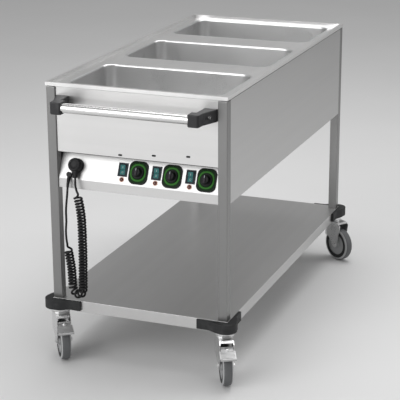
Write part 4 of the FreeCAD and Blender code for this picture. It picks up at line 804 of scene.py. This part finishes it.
def curls(axis):
    """Control points of the curly stretch round its axis, from the lead's end to the tail's."""
    step = FINE_STEP
    line = evenly(axis, step)
    window = 20
    angle = math.pi
    across = None
    turned = 0.0
    wound = []
    next_angle = angle
    for number, centre in enumerate(line):
        low = line[max(number - window, 0)]
        high = line[min(number + window, len(line) - 1)]
        way = (high - low).normalized()
        across = way.cross(Vector((0, 1, 0))) if across is None else across
        across = (across - way * across.dot(way)).normalized()
        reach = number * step
        end_gap = min(reach, (len(line) - 1 - number) * step) - STRAIGHT
        if end_gap <= 0:
            if number % 10 == 0:
                wound.append(centre)
            continue
        share = min(end_gap / CURL_START, 1)
        bend = (high - centre).angle(centre - low, 0.0) / (window * step)
        opened = CURL_CLOSE / (1 - min(bend * CURL_RADIUS, 0.62))
        if angle >= next_angle:
            radius = 1.012 * CURL_RADIUS * math.sin(math.pi / 2 * share) ** 2
            aside = way.cross(across)
            wound.append(centre + (across * math.cos(angle) + aside * math.sin(angle)) * radius)
            next_angle += 2 * math.pi / CURL_STEPS
        pitch = max(CURL_PITCH, opened) * (1 + START_OPEN * math.sqrt(1 - share))
        angle += 2 * math.pi * step / pitch
    return wound


def make_cord():
    """The mains lead in one piece: lead, curls and tail."""
    coil_route = metres(HANG_ROUTE) + half_turn(*metres(TURN_ENDS)) + metres(RISE_ROUTE)
    guide = nurbs("curl_axis", coil_route)
    guide.data.resolution_u = 24
    axis = line_points(guide)
    bpy.data.objects.remove(guide)
    route = metres(LEAD_ROUTE) + curls(axis) + metres(TAIL_ROUTE)
    cord = nurbs("mains_cord", route, CORD_DIAMETER / 2)
    cord.data.resolution_u = 2
    cord.data.bevel_resolution = 3
    cord.data.materials.append(RUBBER_BLACK)
    return cord


def bare_line(cord):
    """The points of the cord's line, without its thickness."""
    bare = cord.copy()
    bare.data = cord.data.copy()
    bare.data.bevel_depth = 0
    return line_points(bare)


def strain_relief(cord):
    """A ribbed sleeve that tapers along the cord from its gland."""
    line = evenly(bare_line(cord)[:400], FINE_STEP)
    rings = []
    across = Vector((1, 0, 0))
    for number in range(58):
        centre = line[number]
        way = (line[number + 1] - line[max(number - 1, 0)]).normalized()
        aside = way.cross(across).normalized()
        level = aside.cross(way)
        rib = 0.45 if number % 7 in (2, 3, 4) and number < 52 else 0.0
        reach = (5.3 - 1.5 * number / 57 + rib) * MM
        rings.append([(centre + (level * math.cos(angle) + aside * math.sin(angle)) * reach) / MM
                      for angle in (2 * math.pi * step / 28 for step in range(28))])
    form = Form(Matrix()).loft(rings)
    return form.made("strain_relief", "frame", "plug_black", RUBBER_BLACK)


def mains_plug():
    """An angled plug parked in its holder: round head, ribbed neck and two pins."""
    face = on_panel(PLUG_X, PLUG_RISE, spin=PLUG_SPIN)
    form = Form(face)
    form.turned([(21.0, 5.0), (21.8, 5.6), (22, 6.6), (22, 19.5), (21.6, 22.0), (20.6, 24.2),
                 (18.9, 25.9), (16.8, 26.8), (14.6, 27.0), (13.8, 26.6), (13.0, 25.9), (6, 25.6),
                 (1, 25.6)], 96, 24, 0.5, (6.7, 19.4))
    rings = []
    for step in range(49):
        share = step / 48
        reach = 6 + 35.0 * share
        wide = 16.2 - 9.9 * share ** 0.85
        deep = 10.0 - 3.8 * share
        rib = 0.5 if reach > 24 and step % 5 in (0, 1) else 0.0
        ring = [(x * (wide + rib), -reach, 15 + y * (deep + rib)) for x, y in rounded(1, 1, 2.3, 40)]
        rings.append(ring)
    form.loft(rings)
    form.coated(1)
    for x in (-9.5, 9.5):
        form.moved(shifted(face, x)).turned([(1.6, -14), (2.3, -13.4), (2.4, -12.5), (2.4, 5.2)], 20)
    piece = form.made("mains_plug", "frame", "plug_black", RUBBER_BLACK, ZINC, sharp=42)
    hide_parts("plug")
    return piece


cord = make_cord()
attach(cord, "frame")
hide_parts("cord_lead", "cord_coil", "cord_tail")
mains_plug()
strain_relief(cord)

# ------------------------------------------------------------------ studio


def floor():
    """A pale floor, which isn't part of the object."""
    mesh = bpy.data.meshes.new("floor")
    reach = 9.0
    corners = [(-reach, -reach, 0), (reach, -reach, 0), (reach, reach, 0), (-reach, reach, 0)]
    mesh.from_pydata(corners, [], [(0, 1, 2, 3)])
    piece = bpy.data.objects.new("floor", mesh)
    bpy.context.scene.collection.objects.link(piece)
    finish = Finish("floor_paint", Roughness=0.7)
    finish.feed("Base Color", finish.mix(finish.noise(finish.place(), 1.5), grey(0.74), grey(0.78)))
    mesh.materials.append(finish.material)


def softbox(name, place, target, size, power):
    data = bpy.data.lights.new(name, "AREA")
    data.shape = "RECTANGLE"
    data.size, data.size_y = size
    data.energy = power
    lamp = bpy.data.objects.new(name, data)
    lamp.location = place
    lamp.rotation_euler = (Vector(target) - Vector(place)).to_track_quat("-Z", "Y").to_euler()
    bpy.context.scene.collection.objects.link(lamp)


def studio():
    world = bpy.data.worlds.new("studio")
    world.use_nodes = True
    backdrop = world.node_tree.nodes["Background"]
    backdrop.inputs["Color"].default_value = (1.0, 1.0, 1.0, 1)
    backdrop.inputs["Strength"].default_value = 0.38
    bpy.context.scene.world = world
    softbox("key_light", (-2.2, -5.0, 2.6), (0, 0, 0.6), (4.2, 4.2), 150)
    softbox("top_light", (0.3, 0.6, 4.2), (0, 0, 0.8), (3.0, 4.0), 100)
    softbox("side_light", (4.2, 1.6, 2.2), (0, 0, 0.6), (2.0, 2.5), 25)
    bpy.context.scene.view_settings.view_transform = "Standard"


floor()
studio()
